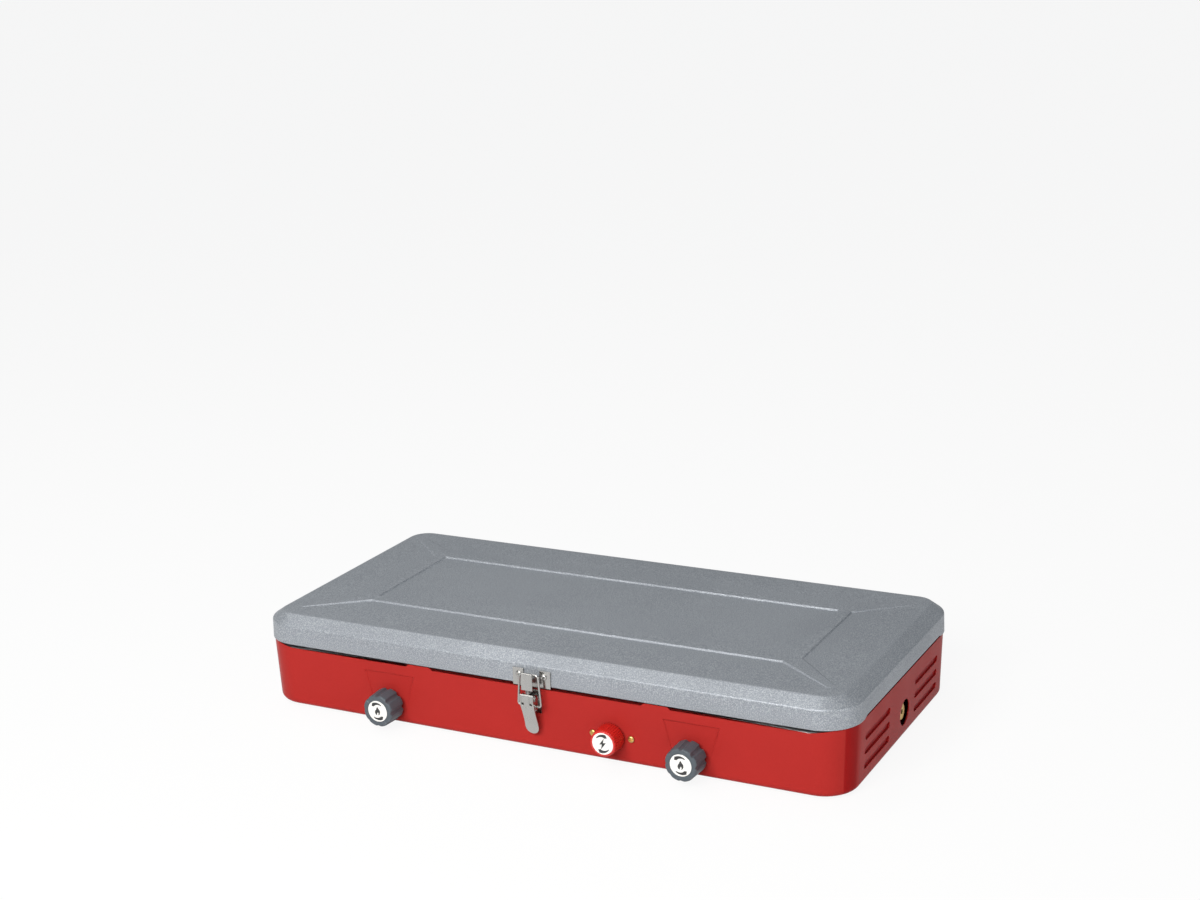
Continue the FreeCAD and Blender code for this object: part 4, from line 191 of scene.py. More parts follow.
class StoveMetalSettings(bpy.types.PropertyGroup):
    """Finish of the latch, the hinges, the wires and the fasteners."""

    nickel: FloatVectorProperty(
        name="Nickel", subtype="COLOR", size=3, min=0, max=1, default=(0.46, 0.455, 0.44),
        description="Colour of the plated latch and hinges")
    edge_round: FloatProperty(
        name="Edge rounding", default=0.00022, unit="LENGTH",
        description="Radius of the stamped edges")
    seed: IntProperty(
        name="Seed", default=7, min=0,
        description="Fixes how the fasteners are turned")


class StoveStageSettings(bpy.types.PropertyGroup):
    """Floor, light and camera."""

    key_power: FloatProperty(
        name="Key light", default=41.0, min=0,
        description="Power of the large light in front of the stove, in watts")
    fill: FloatProperty(
        name="Fill", default=0.13, min=0,
        description="Strength of the even light from all round")
    lens: FloatProperty(
        name="Lens", default=59.92, min=10,
        description="Focal length of the camera, in millimetres")


# Shader groups: effects that several finishes share.


def add(tree, kind, inputs=None, **settings):
    """Add a node, set its own settings, and set or link its inputs."""
    made = tree.nodes.new(kind)
    for name, value in settings.items():
        setattr(made, name, value)
    for name, value in (inputs or {}).items():
        if isinstance(value, bpy.types.NodeSocket):
            tree.links.new(value, made.inputs[name])
        else:
            made.inputs[name].default_value = value
    return made


def effect(name, inputs, outputs):
    """An empty shader group with named sockets, and its two end nodes."""
    tree = bpy.data.node_groups.new(name, "ShaderNodeTree")
    for label, kind, value in inputs:
        socket = tree.interface.new_socket(label, in_out="INPUT", socket_type=kind)
        if value is not None:
            socket.default_value = value
    for label, kind in outputs:
        tree.interface.new_socket(label, in_out="OUTPUT", socket_type=kind)
    return tree, tree.nodes.new("NodeGroupInput").outputs, tree.nodes.new("NodeGroupOutput").inputs


def ramp(tree, value, low, high):
    """A smooth mask that runs from 0 at low to 1 at high."""
    made = add(tree, "ShaderNodeMapRange", {
        "Value": value, "From Min": low, "From Max": high}, interpolation_type="SMOOTHSTEP")
    return made.outputs["Result"]


def maths(tree, operation, first, second=0.0):
    """One step of arithmetic on two values."""
    return add(tree, "ShaderNodeMath", {0: first, 1: second}, operation=operation).outputs[0]


def grain_effect():
    """Fine grains, as of powder coat, cast metal or moulded plastic."""
    tree, given, out = effect("Fine grain", [
        ("Vector", "NodeSocketVector", None),
        ("Grains per metre", "NodeSocketFloat", 900.0),
        ("Coarseness", "NodeSocketFloat", 0.5),
    ], [("Grain", "NodeSocketFloat"), ("Height", "NodeSocketFloat")])
    fine = add(tree, "ShaderNodeTexNoise", {
        "Vector": given["Vector"], "Scale": given["Grains per metre"],
        "Detail": 2.0, "Roughness": given["Coarseness"]})
    half = maths(tree, "MULTIPLY", given["Grains per metre"], 0.45)
    broad = add(tree, "ShaderNodeTexNoise", {
        "Vector": given["Vector"], "Scale": half, "Detail": 1.0})
    cells = add(tree, "ShaderNodeTexVoronoi", {
        "Vector": given["Vector"], "Scale": given["Grains per metre"]}, feature="SMOOTH_F1")
    pips = ramp(tree, cells.outputs["Distance"], 0.7, 0.15)
    tree.links.new(ramp(tree, fine.outputs["Fac"], 0.42, 0.66), out["Grain"])
    both = maths(tree, "ADD", fine.outputs["Fac"], maths(tree, "MULTIPLY", pips, 0.35))
    swell = maths(tree, "MULTIPLY", broad.outputs["Fac"], 0.4)
    tree.links.new(maths(tree, "ADD", both, swell), out["Height"])
    return tree


def marks_effect():
    """Broad cloudy variation and fine rubbed scratches from handling."""
    tree, given, out = effect("Handling marks", [
        ("Vector", "NodeSocketVector", None),
        ("Clouds per metre", "NodeSocketFloat", 14.0),
    ], [("Clouds", "NodeSocketFloat"), ("Scratches", "NodeSocketFloat")])
    cloud = add(tree, "ShaderNodeTexNoise", {
        "Vector": given["Vector"], "Scale": given["Clouds per metre"],
        "Detail": 4.0, "Roughness": 0.55})
    tree.links.new(ramp(tree, cloud.outputs["Fac"], 0.35, 0.68), out["Clouds"])
    lines = []
    for turn, stretch in ((0.5, (900.0, 26.0, 300.0)), (-0.8, (700.0, 20.0, 260.0))):
        mapped = add(tree, "ShaderNodeMapping", {
            "Vector": given["Vector"], "Rotation": (0.15, 0.1, turn), "Scale": stretch})
        line = add(tree, "ShaderNodeTexNoise", {
            "Vector": mapped.outputs[0], "Scale": 1.0, "Detail": 1.0, "Roughness": 0.4})
        lines.append(ramp(tree, line.outputs["Fac"], 0.73, 0.8))
    tree.links.new(maths(tree, "MAXIMUM", *lines), out["Scratches"])
    return tree


def brushed_effect():
    """Long parallel grain, as of rolled or brushed sheet."""
    tree, given, out = effect("Rolled grain", [
        ("Vector", "NodeSocketVector", None),
        ("Stretch", "NodeSocketVector", (60.0, 2500.0, 2500.0)),
    ], [("Grain", "NodeSocketFloat"), ("Height", "NodeSocketFloat")])
    mapped = add(tree, "ShaderNodeMapping", {"Vector": given["Vector"], "Scale": given["Stretch"]})
    line = add(tree, "ShaderNodeTexNoise", {
        "Vector": mapped.outputs[0], "Scale": 1.0, "Detail": 3.0, "Roughness": 0.6})
    tree.links.new(ramp(tree, line.outputs["Fac"], 0.3, 0.7), out["Grain"])
    tree.links.new(line.outputs["Fac"], out["Height"])
    return tree


def wear_effect():
    """Where raised edges are rubbed, broken up by noise."""
    tree, given, out = effect("Edge wear", [
        ("Vector", "NodeSocketVector", None),
        ("Edge", "NodeSocketFloat", 0.54),
        ("Chips per metre", "NodeSocketFloat", 160.0),
    ], [("Wear", "NodeSocketFloat")])
    shape = add(tree, "ShaderNodeNewGeometry")
    sharper = maths(tree, "SUBTRACT", shape.outputs["Pointiness"], given["Edge"])
    edge = ramp(tree, sharper, 0.0, 0.06)
    chips = add(tree, "ShaderNodeTexNoise", {
        "Vector": given["Vector"], "Scale": given["Chips per metre"],
        "Detail": 5.0, "Roughness": 0.7})
    broken = ramp(tree, chips.outputs["Fac"], 0.46, 0.6)
    tree.links.new(maths(tree, "MULTIPLY", edge, broken), out["Wear"])
    return tree


def groove_effect():
    """Painted shade: where a point lies pressed in behind the base's end walls, which lean in at the foot."""
    tree, given, out = effect("Pressed grooves", [
        ("Vector", "NodeSocketVector", None),
        ("Reach", "NodeSocketFloat", 0.269),
        ("Lean", "NodeSocketFloat", 0.0441),
    ], [("Groove shade", "NodeSocketFloat")])
    part = add(tree, "ShaderNodeSeparateXYZ", {0: given["Vector"]}).outputs
    below = maths(tree, "SUBTRACT", RIM / 1000, part["Z"])
    lean = maths(tree, "MULTIPLY", below, given["Lean"])
    wall = maths(tree, "SUBTRACT", given["Reach"], lean)
    depth = maths(tree, "SUBTRACT", wall, maths(tree, "ABSOLUTE", part["X"]))
    near = ramp(tree, depth, 0.007, 0.006)
    sunk = ramp(tree, depth, 0.0002, 0.0012)
    tree.links.new(maths(tree, "MULTIPLY", near, sunk), out["Groove shade"])
    return tree


def blend_colours(tree, mask, first, second):
    """First colour where the mask is 0, second where it is 1."""
    made = add(tree, "ShaderNodeMix", {0: mask, 6: first, 7: second}, data_type="RGBA")
    return made.outputs[2]


# Filled by the maker of the finishes: shader groups by effect, and materials by slot.
EFFECTS = {}
FINISHES = {}


def finish(slot, colour, alt, roughness, spread=0.08, grains=1200.0, coarse=0.5, grain_tint=0.5,
           depth=0.00003, clouds=14.0, cloud_tint=0.25, scratch=0.3, rolled=None, wear=None,
           groove=None, **fixed):
    """A material from the shared effects, each with its own values.

    The grain mixes colour and alt, and the clouds darken them. spread is how far the roughness
    varies, depth is the height of the grain in metres, wear is the colour of rubbed edges,
    groove is the colour of painted shade in pressed grooves, and fixed sets the shader's own sockets.
    """
    made = bpy.data.materials.new(slot)
    made.use_nodes = True
    tree = made.node_tree
    shader = tree.nodes["Principled BSDF"]
    for name, value in fixed.items():
        shader.inputs[name.replace("_", " ").title().replace("Ior", "IOR")].default_value = value
    place = add(tree, "ShaderNodeTexCoord").outputs["Object"]
    if rolled:
        grain = add(tree, "ShaderNodeGroup", node_tree=EFFECTS["rolled"])
        grain.inputs["Stretch"].default_value = rolled
    else:
        grain = add(tree, "ShaderNodeGroup", node_tree=EFFECTS["grain"])
        grain.inputs["Grains per metre"].default_value = grains
        grain.inputs["Coarseness"].default_value = coarse
    marks = add(tree, "ShaderNodeGroup", node_tree=EFFECTS["marks"])
    marks.inputs["Clouds per metre"].default_value = clouds
    for group in (grain, marks):
        tree.links.new(place, group.inputs["Vector"])
    speckled = maths(tree, "MULTIPLY", grain.outputs["Grain"], grain_tint)
    shade = blend_colours(tree, speckled, (*colour, 1.0), (*alt, 1.0))
    dim = (*(0.82 * value for value in colour), 1.0)
    clouded = maths(tree, "MULTIPLY", marks.outputs["Clouds"], cloud_tint)
    shade = blend_colours(tree, clouded, shade, dim)
    # Painted shade: the base's pressed grooves take a darker enamel colour.
    if groove:
        sunk = add(tree, "ShaderNodeGroup", node_tree=EFFECTS["groove"])
        tree.links.new(place, sunk.inputs["Vector"])
        shade = blend_colours(tree, sunk.outputs["Groove shade"], shade, (*groove, 1.0))
    if wear:
        edge = add(tree, "ShaderNodeGroup", node_tree=EFFECTS["wear"])
        tree.links.new(place, edge.inputs["Vector"])
        shade = blend_colours(tree, edge.outputs["Wear"], shade, (*wear, 1.0))
    tree.links.new(shade, shader.inputs["Base Color"])
    rub = maths(tree, "MULTIPLY", marks.outputs["Scratches"], scratch)
    cloudy = maths(tree, "MULTIPLY", marks.outputs["Clouds"], spread)
    rubbed = maths(tree, "MULTIPLY", rub, 0.3)
    rough = maths(tree, "ADD", maths(tree, "ADD", cloudy, roughness), rubbed)
    tree.links.new(rough, shader.inputs["Roughness"])
    height = maths(tree, "SUBTRACT", grain.outputs["Height"], maths(tree, "MULTIPLY", rub, 0.6))
    bump = add(tree, "ShaderNodeBump", {"Height": height, "Strength": 1.0, "Distance": depth})
    tree.links.new(bump.outputs["Normal"], shader.inputs["Normal"])
    FINISHES[slot] = made
    return made


# Mesh helpers.


def mesh_of(name, spots, faces=()):
    """A mesh from points in metres and faces."""
    data = bpy.data.meshes.new(name)
    data.from_pydata([tuple(point) for point in spots], [], faces)
    return data


def placed(name, data):
    """A new object in the scene."""
    made = bpy.data.objects.new(name, data)
    bpy.context.scene.collection.objects.link(made)
    return made


def finished(name, data, slot, smooth=35.0):
    """An object for a finished mesh, with its material and smooth shading."""
    data.update()
    if smooth:
        data.shade_smooth()
        data.set_sharp_from_angle(angle=math.radians(smooth))
    data.materials.clear()
    data.materials.append(FINISHES[slot])
    return placed(name, data)


def settle(piece, body, slot, *nodes):
    """The piece rides on its body and replaces the CAD nodes given; slot is not used."""
    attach(piece, body)
    if nodes:
        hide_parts(*nodes)
    return piece


def rewound(data):
    """Make a closed mesh's faces point outwards."""
    mesh = bmesh.new()
    mesh.from_mesh(data)
    bmesh.ops.remove_doubles(mesh, verts=mesh.verts, dist=1e-7)
    bmesh.ops.recalc_face_normals(mesh, faces=mesh.faces)
    mesh.to_mesh(data)
    mesh.free()
    return data


def rounded_path(corners, steps=4):
    """Points along straight runs whose corners, given with a radius each, are rounded."""
    spots = []
    for index, (x, z, radius) in enumerate(corners):
        here = Vector((x, z))
        if index in (0, len(corners) - 1) or radius == 0:
            spots.append(here)
            continue
        come = (Vector(corners[index - 1][:2]) - here).normalized()
        leave = (Vector(corners[index + 1][:2]) - here).normalized()
        half = come.angle(leave) / 2
        centre = here + (come + leave).normalized() * (radius / math.sin(half))
        start = here + come * (radius / math.tan(half)) - centre
        turn = start.angle_signed(here + leave * (radius / math.tan(half)) - centre)
        for step in range(steps + 1):
            spots.append(centre + Matrix.Rotation(-turn * step / steps, 2) @ start)
    return spots


def lathe(profile, around=48, shape=None):
    """Turn a closed profile of (radius, height) pairs about Z; shape may change a radius."""
    spots = []
    rows = []
    for radius, height in profile:
        if radius < 1e-6:
            rows.append([len(spots)] * around)
            spots.append(Vector((0, 0, height)))
            continue
        rows.append(list(range(len(spots), len(spots) + around)))
        for step in range(around):
            angle = 2 * math.pi * step / around
            reach = shape(radius, height, angle) if shape else radius
            spots.append(Vector((reach * math.cos(angle), reach * math.sin(angle), height)))
    faces = []
    for low, high in zip(rows, rows[1:] + rows[:1]):
        for step in range(around):
            after = (step + 1) % around
            corners = [low[step], low[after], high[after], high[step]]
            face = [spot for index, spot in enumerate(corners) if spot not in corners[:index]]
            if len(face) > 2:
                faces.append(face)
    return spots, faces


def turned_piece(name, profile, slot, place, way, around=48, shape=None, smooth=35.0):
    """A turned piece in millimetres, pointing one way from a place in the layout."""
    spots, faces = lathe(profile, around, shape)
    spots = [(WAYS[way] @ point) / 1000 + place for point in spots]
    return finished(name, rewound(mesh_of(name, spots, faces)), slot, smooth)


WAYS = {
    "up": Matrix.Identity(3),
    "down": Matrix.Rotation(math.pi, 3, "X"),
    "front": Matrix.Rotation(math.pi / 2, 3, "X"),
    "back": Matrix.Rotation(-math.pi / 2, 3, "X"),
}


def solid_boxes(node):
    """The box of each separate solid in a CAD node, in metres."""
    mesh = bmesh.new()
    mesh.from_mesh(NODES[node].data)
    bmesh.ops.remove_doubles(mesh, verts=mesh.verts, dist=1e-6)
    left = set(mesh.verts)
    boxes = []
    while left:
        seen = {left.pop()}
        edge = list(seen)
        while edge:
            here = edge.pop()
            near = {link.other_vert(here) for link in here.link_edges} - seen
            seen |= near
            edge += near
        left -= seen
        places = np.array([tuple(vert.co) for vert in seen])
        boxes.append((Vector(places.min(0)), Vector(places.max(0))))
    mesh.free()
    return sorted(boxes, key=lambda box: tuple(box[0]))


def softened(name, node, width, steps=2, rounder=None, wider=0.0, move=None):
    """A copy of a CAD node with its hard edges rounded, and some of them by the wider radius.

    rounder says from an edge's middle, in millimetres of the layout, whether it is one of them,
    and move may shift a point, in metres.
    """
    data = NODES[node].data.copy()
    data.name = name
    mesh = bmesh.new()
    mesh.from_mesh(data)
    bmesh.ops.remove_doubles(mesh, verts=mesh.verts, dist=1e-6)
    bmesh.ops.dissolve_limit(
        mesh, angle_limit=math.radians(0.6), verts=mesh.verts, edges=mesh.edges)
    bmesh.ops.dissolve_degenerate(mesh, dist=1e-6, edges=mesh.edges)
    if move:
        for vert in mesh.verts:
            vert.co = move(vert.co)
    widest = max(width, wider)
    share = mesh.edges.layers.float.new("bevel_weight_edge")
    for edge in mesh.edges:
        if len(edge.link_faces) == 2 and edge.calc_face_angle() > math.radians(30):
            middle = (edge.verts[0].co + edge.verts[1].co) * 500 - Vector((0, SHIFT, 0))
            edge[share] = 1.0 if rounder and rounder(middle) else width / widest
    mesh.to_mesh(data)
    mesh.free()
    rough = placed(name, data)
    bevel = rough.modifiers.new("Rounding", "BEVEL")
    bevel.limit_method = "WEIGHT"
    bevel.width = widest
    bevel.segments = steps
    bevel.use_clamp_overlap = False
    even = rough.modifiers.new("Even shading", "WEIGHTED_NORMAL")
    even.weight = 80
    data.shade_smooth()
    return evaluated(name, rough, SLOTS[node], None)


def evaluated(name, rough, slot, smooth=35.0):
    """A plain mesh object from one with modifiers, which is then removed."""
    depsgraph = bpy.context.evaluated_depsgraph_get()
    depsgraph.update()
    data = bpy.data.meshes.new_from_object(rough.evaluated_get(depsgraph))
    bpy.data.objects.remove(rough)
    data.name = name
    return finished(name, data, slot, smooth)


# Geometry Nodes trees for what repeats or follows a path.


def geometry_tree(name, inputs):
    """An empty Geometry Nodes tree with named inputs, and its two end nodes."""
    tree = bpy.data.node_groups.new(name, "GeometryNodeTree")
    tree.interface.new_socket("Geometry", in_out="INPUT", socket_type="NodeSocketGeometry")
    for label, kind, value in inputs:
        socket = tree.interface.new_socket(label, in_out="INPUT", socket_type=kind)
        if value is not None:
            socket.default_value = value
    tree.interface.new_socket("Geometry", in_out="OUTPUT", socket_type="NodeSocketGeometry")
    return tree, tree.nodes.new("NodeGroupInput").outputs, tree.nodes.new("NodeGroupOutput").inputs


def close_tree(tree, geometry, finish_socket, out):
    """End a tree in Realize Instances and Set Material."""
    real = add(tree, "GeometryNodeRealizeInstances", {"Geometry": geometry})
    painted = add(tree, "GeometryNodeSetMaterial", {
        "Geometry": real.outputs[0], "Material": finish_socket})
    tree.links.new(painted.outputs[0], out["Geometry"])
    return tree


def fastener_tree():
    """Sets a fastener on each point, facing one way, each with its own turn."""
    tree, given, out = geometry_tree("Set fasteners", [
        ("Fastener", "NodeSocketObject", None),
        ("Facing", "NodeSocketVector", (0.0, 0.0, 0.0)),
        ("Loose turn", "NodeSocketFloat", 3.14),
        ("Seed", "NodeSocketInt", 0),
        ("Finish", "NodeSocketMaterial", None),
    ])
    info = add(tree, "GeometryNodeObjectInfo", {"Object": given["Fastener"]})
    turn = add(tree, "FunctionNodeRandomValue", {"Seed": given["Seed"]}, data_type="FLOAT")
    tree.links.new(given["Loose turn"], turn.inputs[3])
    spin = add(tree, "ShaderNodeCombineXYZ", {"Z": turn.outputs[1]})
    facing = add(tree, "FunctionNodeEulerToRotation", {"Euler": given["Facing"]})
    own = add(tree, "FunctionNodeEulerToRotation", {"Euler": spin.outputs[0]})
    both = add(tree, "FunctionNodeRotateRotation", {
        "Rotation": facing.outputs[0], "Rotate By": own.outputs[0]}, rotation_space="LOCAL")
    points = add(tree, "GeometryNodeMeshToPoints", {"Mesh": given["Geometry"]})
    items = add(tree, "GeometryNodeInstanceOnPoints", {
        "Points": points.outputs[0], "Instance": info.outputs["Geometry"],
        "Rotation": both.outputs[0]})
    return close_tree(tree, items.outputs[0], given["Finish"], out)


def wire_tree():
    """Bends a round wire along each path, with one bend radius at the corners."""
    tree, given, out = geometry_tree("Bend wire", [
        ("Wire radius", "NodeSocketFloat", 0.001),
        ("Bend radius", "NodeSocketFloat", 0.002),
        ("Sides", "NodeSocketInt", 12),
        ("Finish", "NodeSocketMaterial", None),
    ])
    bent = add(tree, "GeometryNodeFilletCurve", {
        "Curve": given["Geometry"], "Radius": given["Bend radius"], "Limit Radius": True})
    for socket in bent.inputs:
        if socket.name == "Count":
            socket.default_value = 6
    if hasattr(bent, "mode"):
        bent.mode = "POLY"
    hoop = add(tree, "GeometryNodeCurvePrimitiveCircle", {
        "Radius": given["Wire radius"], "Resolution": given["Sides"]})
    wire = add(tree, "GeometryNodeCurveToMesh", {
        "Curve": bent.outputs[0], "Profile Curve": hoop.outputs[0], "Fill Caps": True})
    return close_tree(tree, wire.outputs[0], given["Finish"], out)


def ring_tree():
    """Repeats one item at even turns round an axis through the origin."""
    tree, given, out = geometry_tree("Repeat round", [
        ("Item", "NodeSocketObject", None),
        ("Count", "NodeSocketInt", 12),
        ("Centre", "NodeSocketVector", (0.0, 0.0, 0.0)),
        ("Finish", "NodeSocketMaterial", None),
    ])
    info = add(tree, "GeometryNodeObjectInfo", {"Object": given["Item"]})
    line = add(tree, "GeometryNodeMeshLine", {
        "Count": given["Count"], "Start Location": given["Centre"], "Offset": (0.0, 0.0, 0.0)})
    points = add(tree, "GeometryNodeMeshToPoints", {"Mesh": line.outputs[0]})
    index = add(tree, "GeometryNodeInputIndex")
    share = maths(tree, "DIVIDE", index.outputs[0], given["Count"])
    turn = add(tree, "ShaderNodeCombineXYZ", {"Y": maths(tree, "MULTIPLY", share, 2 * math.pi)})
    rotation = add(tree, "FunctionNodeEulerToRotation", {"Euler": turn.outputs[0]})
    items = add(tree, "GeometryNodeInstanceOnPoints", {
        "Points": points.outputs[0], "Instance": info.outputs["Geometry"],
        "Rotation": rotation.outputs[0]})
    return close_tree(tree, items.outputs[0], given["Finish"], out)


# Filled by the maker of the finishes too: the trees by what they do.
TREES = {}


def grown(name, source, tree, inputs, slot, smooth=35.0):
    """The plain mesh that a tree makes from a source object."""
    modifier = source.modifiers.new("Nodes", "NODES")
    modifier.node_group = TREES[tree]
    named = {item.name: item.identifier for item in TREES[tree].interface.items_tree
             if item.item_type == "SOCKET" and item.in_out == "INPUT"}
    for label, value in inputs.items():
        modifier[named[label]] = value
    modifier[named["Finish"]] = FINISHES[slot]
    return evaluated(name, source, slot, smooth)


def path_object(name, paths):
    """A curve object with one straight-run spline for each path of (points, closed)."""
    data = bpy.data.curves.new(name, "CURVE")
    data.dimensions = "3D"
    for places, closed in paths:
        line = data.splines.new("POLY")
        line.points.add(len(places) - 1)
        for point, place in zip(line.points, places):
            point.co = (*place, 1.0)
        line.use_cyclic_u = closed
    return placed(name, data)


class StoveOperator:
    """What every maker of this stove shares."""

    bl_options = {"REGISTER", "UNDO"}


class STOVE_OT_finishes(StoveOperator, bpy.types.Operator):
    """Build the stove's materials and give every CAD piece its own"""

    bl_idname = "stove.finishes"
    bl_label = "Finishes"

    def execute(self, context):
        lid = context.scene.stove_lid
        base = context.scene.stove_base
        knobs = context.scene.stove_knobs
        metal = context.scene.stove_metal
        EFFECTS["grain"] = grain_effect()
        EFFECTS["marks"] = marks_effect()
        EFFECTS["rolled"] = brushed_effect()
        EFFECTS["wear"] = wear_effect()
        EFFECTS["groove"] = groove_effect()
        finish("lid_powder_coat", lid.coat, lid.flecks, 0.4, grains=1 / lid.grain, coarse=0.75,
               grain_tint=0.85, depth=0.00011, clouds=9, cloud_tint=0.22, scratch=0.1,
               metallic=0.42, specular_ior_level=0.12)
        # The red enamel's darker colour in the end walls' pressed grooves is painted shade.
        finish("red_enamel", base.enamel, base.deep_enamel, 0.32, grains=700, coarse=0.45,
               grain_tint=0.25, depth=0.00003, clouds=11, cloud_tint=0.3, scratch=0.02,
               groove=(0.28, 0.008, 0.008), specular_ior_level=0.04)
        finish("nickel_plate", metal.nickel, (0.38, 0.375, 0.36), 0.19, spread=0.1,
               grain_tint=0.25, depth=0.000004, clouds=70, rolled=(500.0, 500.0, 40.0),
               scratch=0.5, metallic=1.0)
        finish("galvanised", (0.5, 0.52, 0.53), (0.62, 0.64, 0.66), 0.4, spread=0.15, grains=160,
               coarse=0.2, grain_tint=0.7, depth=0.000008, clouds=60, scratch=0.5, metallic=1.0)
        finish("bare_steel", (0.6, 0.6, 0.6), (0.5, 0.5, 0.5), 0.3, spread=0.12, grain_tint=0.4,
               depth=0.000006, clouds=20, rolled=(40.0, 1800.0, 1800.0), scratch=0.6, metallic=1.0)
        finish("chrome_wire", (0.72, 0.72, 0.74), (0.6, 0.6, 0.62), 0.14, spread=0.12, grains=900,
               depth=0.000004, clouds=50, scratch=0.6, metallic=1.0)
        finish("cast_aluminium", (0.56, 0.57, 0.58), (0.44, 0.45, 0.46), 0.5, spread=0.12,
               grains=1100, coarse=0.7, depth=0.00006, clouds=40, scratch=0.2, metallic=1.0)
        finish("brass", (0.6, 0.41, 0.15), (0.42, 0.27, 0.09), 0.32, spread=0.2, grains=500,
               depth=0.000006, clouds=90, scratch=0.5, metallic=1.0)
        finish("slate_plastic", knobs.slate, (0.085, 0.102, 0.12), 0.5, grains=2200, coarse=0.6,
               grain_tint=0.5, depth=0.00003, clouds=60, scratch=0.2, wear=(0.13, 0.15, 0.17))
        finish("red_plastic", knobs.red, (0.5, 0.012, 0.008), 0.34, grains=2000, depth=0.00001,
               clouds=60, scratch=0.2, coat_weight=0.15, coat_roughness=0.2)
        finish("white_plastic", (0.8, 0.8, 0.785), (0.74, 0.74, 0.72), 0.3, grains=1500,
               grain_tint=0.3, depth=0.000006, clouds=90, cloud_tint=0.15, scratch=0.2)
        finish("black_plastic", (0.022, 0.023, 0.025), (0.04, 0.04, 0.042), 0.45, grains=1800,
               depth=0.00002, clouds=60, scratch=0.3)
        finish("porcelain", (0.78, 0.76, 0.7), (0.7, 0.66, 0.58), 0.18, grains=300, grain_tint=0.2,
               depth=0.000004, clouds=80, scratch=0.05, coat_weight=0.5, coat_roughness=0.08)
        finish("lead_insulation", (0.03, 0.03, 0.032), (0.05, 0.048, 0.046), 0.55, grains=1500,
               depth=0.00001, clouds=70, scratch=0.1)
        finish("rubber", (0.022, 0.022, 0.023), (0.045, 0.044, 0.042), 0.75, grains=1600,
               coarse=0.7, depth=0.00004, clouds=60, scratch=0.1, wear=(0.07, 0.068, 0.065))
        for node, thing in NODES.items():
            thing.data.materials.clear()
            thing.data.materials.append(FINISHES[SLOTS[node]])
        TREES["fasteners"] = fastener_tree()
        TREES["wire"] = wire_tree()
        TREES["ring"] = ring_tree()
        return {"FINISHED"}


# The lid.


def grid_lines(reach, mark, step):
    """Grid lines on both sides of the middle: on each pressed step, and closer beyond the first.

    mark is the outer side of the frame's band, and its inner side lies one band further in.
    """
    sides = [side + share * step / 4
             for side in (mark - BAND, mark) for share in (-2, -1, 0, 1, 2)]
    half = list(np.linspace(0, sides[0], max(2, round(sides[0] / COARSE) + 1)))
    for place in sides[1:] + [reach]:
        count = max(1, round((place - half[-1]) / FINE))
        half += list(np.linspace(half[-1], place, count + 1))[1:]
    return [-value for value in half[:0:-1]] + half


def on_rounded(x, y, half_x, half_y, radius):
    """Where an edge point of the lid's grid lies on a rounded rectangle.

    The last stretch of each side of the grid takes its half of the rounded corner.
    """
    flat_x, flat_y = half_x - radius, half_y - radius
    on_long = abs(abs(y) - GRID_Y) < 1e-6
    along, reach = (abs(x), GRID_X) if on_long else (abs(y), GRID_Y)
    share = max(0.0, along - (reach - GRID_TURN)) / GRID_TURN
    angle = share * math.pi / 4
    straight = min(1.0, along / (reach - GRID_TURN))
    if on_long:
        spot_x = straight * flat_x + radius * math.sin(angle)
        spot_y = flat_y + radius * math.cos(angle)
    else:
        spot_x = flat_x + radius * math.cos(angle)
        spot_y = straight * flat_y + radius * math.sin(angle)
    return math.copysign(spot_x, x), math.copysign(spot_y, y)


def polygon_depth(x, y, corners):
    """How far points lie inside a closed polygon; negative outside."""
    best = np.full(x.shape, 1e9)
    inside = np.zeros(x.shape, bool)
    for (ax, ay), (bx, by) in zip(corners, corners[1:] + corners[:1]):
        dx, dy = bx - ax, by - ay
        share = np.clip(((x - ax) * dx + (y - ay) * dy) / (dx * dx + dy * dy), 0, 1)
        best = np.minimum(best, np.hypot(x - ax - share * dx, y - ay - share * dy))
        if ay != by:
            cross = (ay > y) != (by > y)
            inside ^= cross & (x < dx * (y - ay) / dy + ax)
    return np.where(inside, best, -best)


def ease(value):
    """A smooth step from 0 to 1."""
    value = np.clip(value, 0, 1)
    return value * value * (3 - 2 * value)


def soft_min(first, second, soft):
    """The smaller of two values, rounded where they meet."""
    share = np.clip(0.5 + 0.5 * (second - first) / soft, 0, 1)
    return first * share + second * (1 - share) - soft * share * (1 - share)


def frame_corners():
    """The outline of the pressed frame with its diagonal arms, four corners for each arm."""
    corners = []
    for side, row in CORNERS:
        corner = [
            (side * FRAME_X, row * (FRAME_Y - BAND)),
            (side * (ARM_X + ARM_HALF), row * (ARM_Y - ARM_HALF)),
            (side * (ARM_X - ARM_HALF), row * (ARM_Y + ARM_HALF)),
            (side * (FRAME_X - BAND), row * FRAME_Y),
        ]
        corners += corner if side * row > 0 else corner[::-1]
    return corners


def lid_height(x, y, step, drop):
    """Height of the lid's top over the layout, with its pressed frame and arms."""
    reach_x, reach_y = LID_X - SHOULDER_INSET, LID_Y - SHOULDER_INSET
    share_x = (reach_x - np.abs(x)) / (reach_x - FRAME_X)
    share_y = (reach_y - np.abs(y)) / (reach_y - FRAME_Y)
    soft = 0.06
    hip = np.clip(soft_min(soft_min(share_x, share_y, soft), 1, soft), 0, 1)
    outer = polygon_depth(x, y, frame_corners())
    panel = [(side * (FRAME_X - BAND), row * (FRAME_Y - BAND)) for side, row in CORNERS]
    inner = polygon_depth(x, y, panel)
    band = np.clip(np.minimum(outer, -inner) / step + 0.5, 0, 1)
    bow = 0.05 * np.sin(x / 41.0 + 0.7) * np.sin(y / 33.0 + 0.4) * ease(-band + 1) * hip
    return SHOULDER + hip * (CROWN - drop) + band * hip * drop + bow


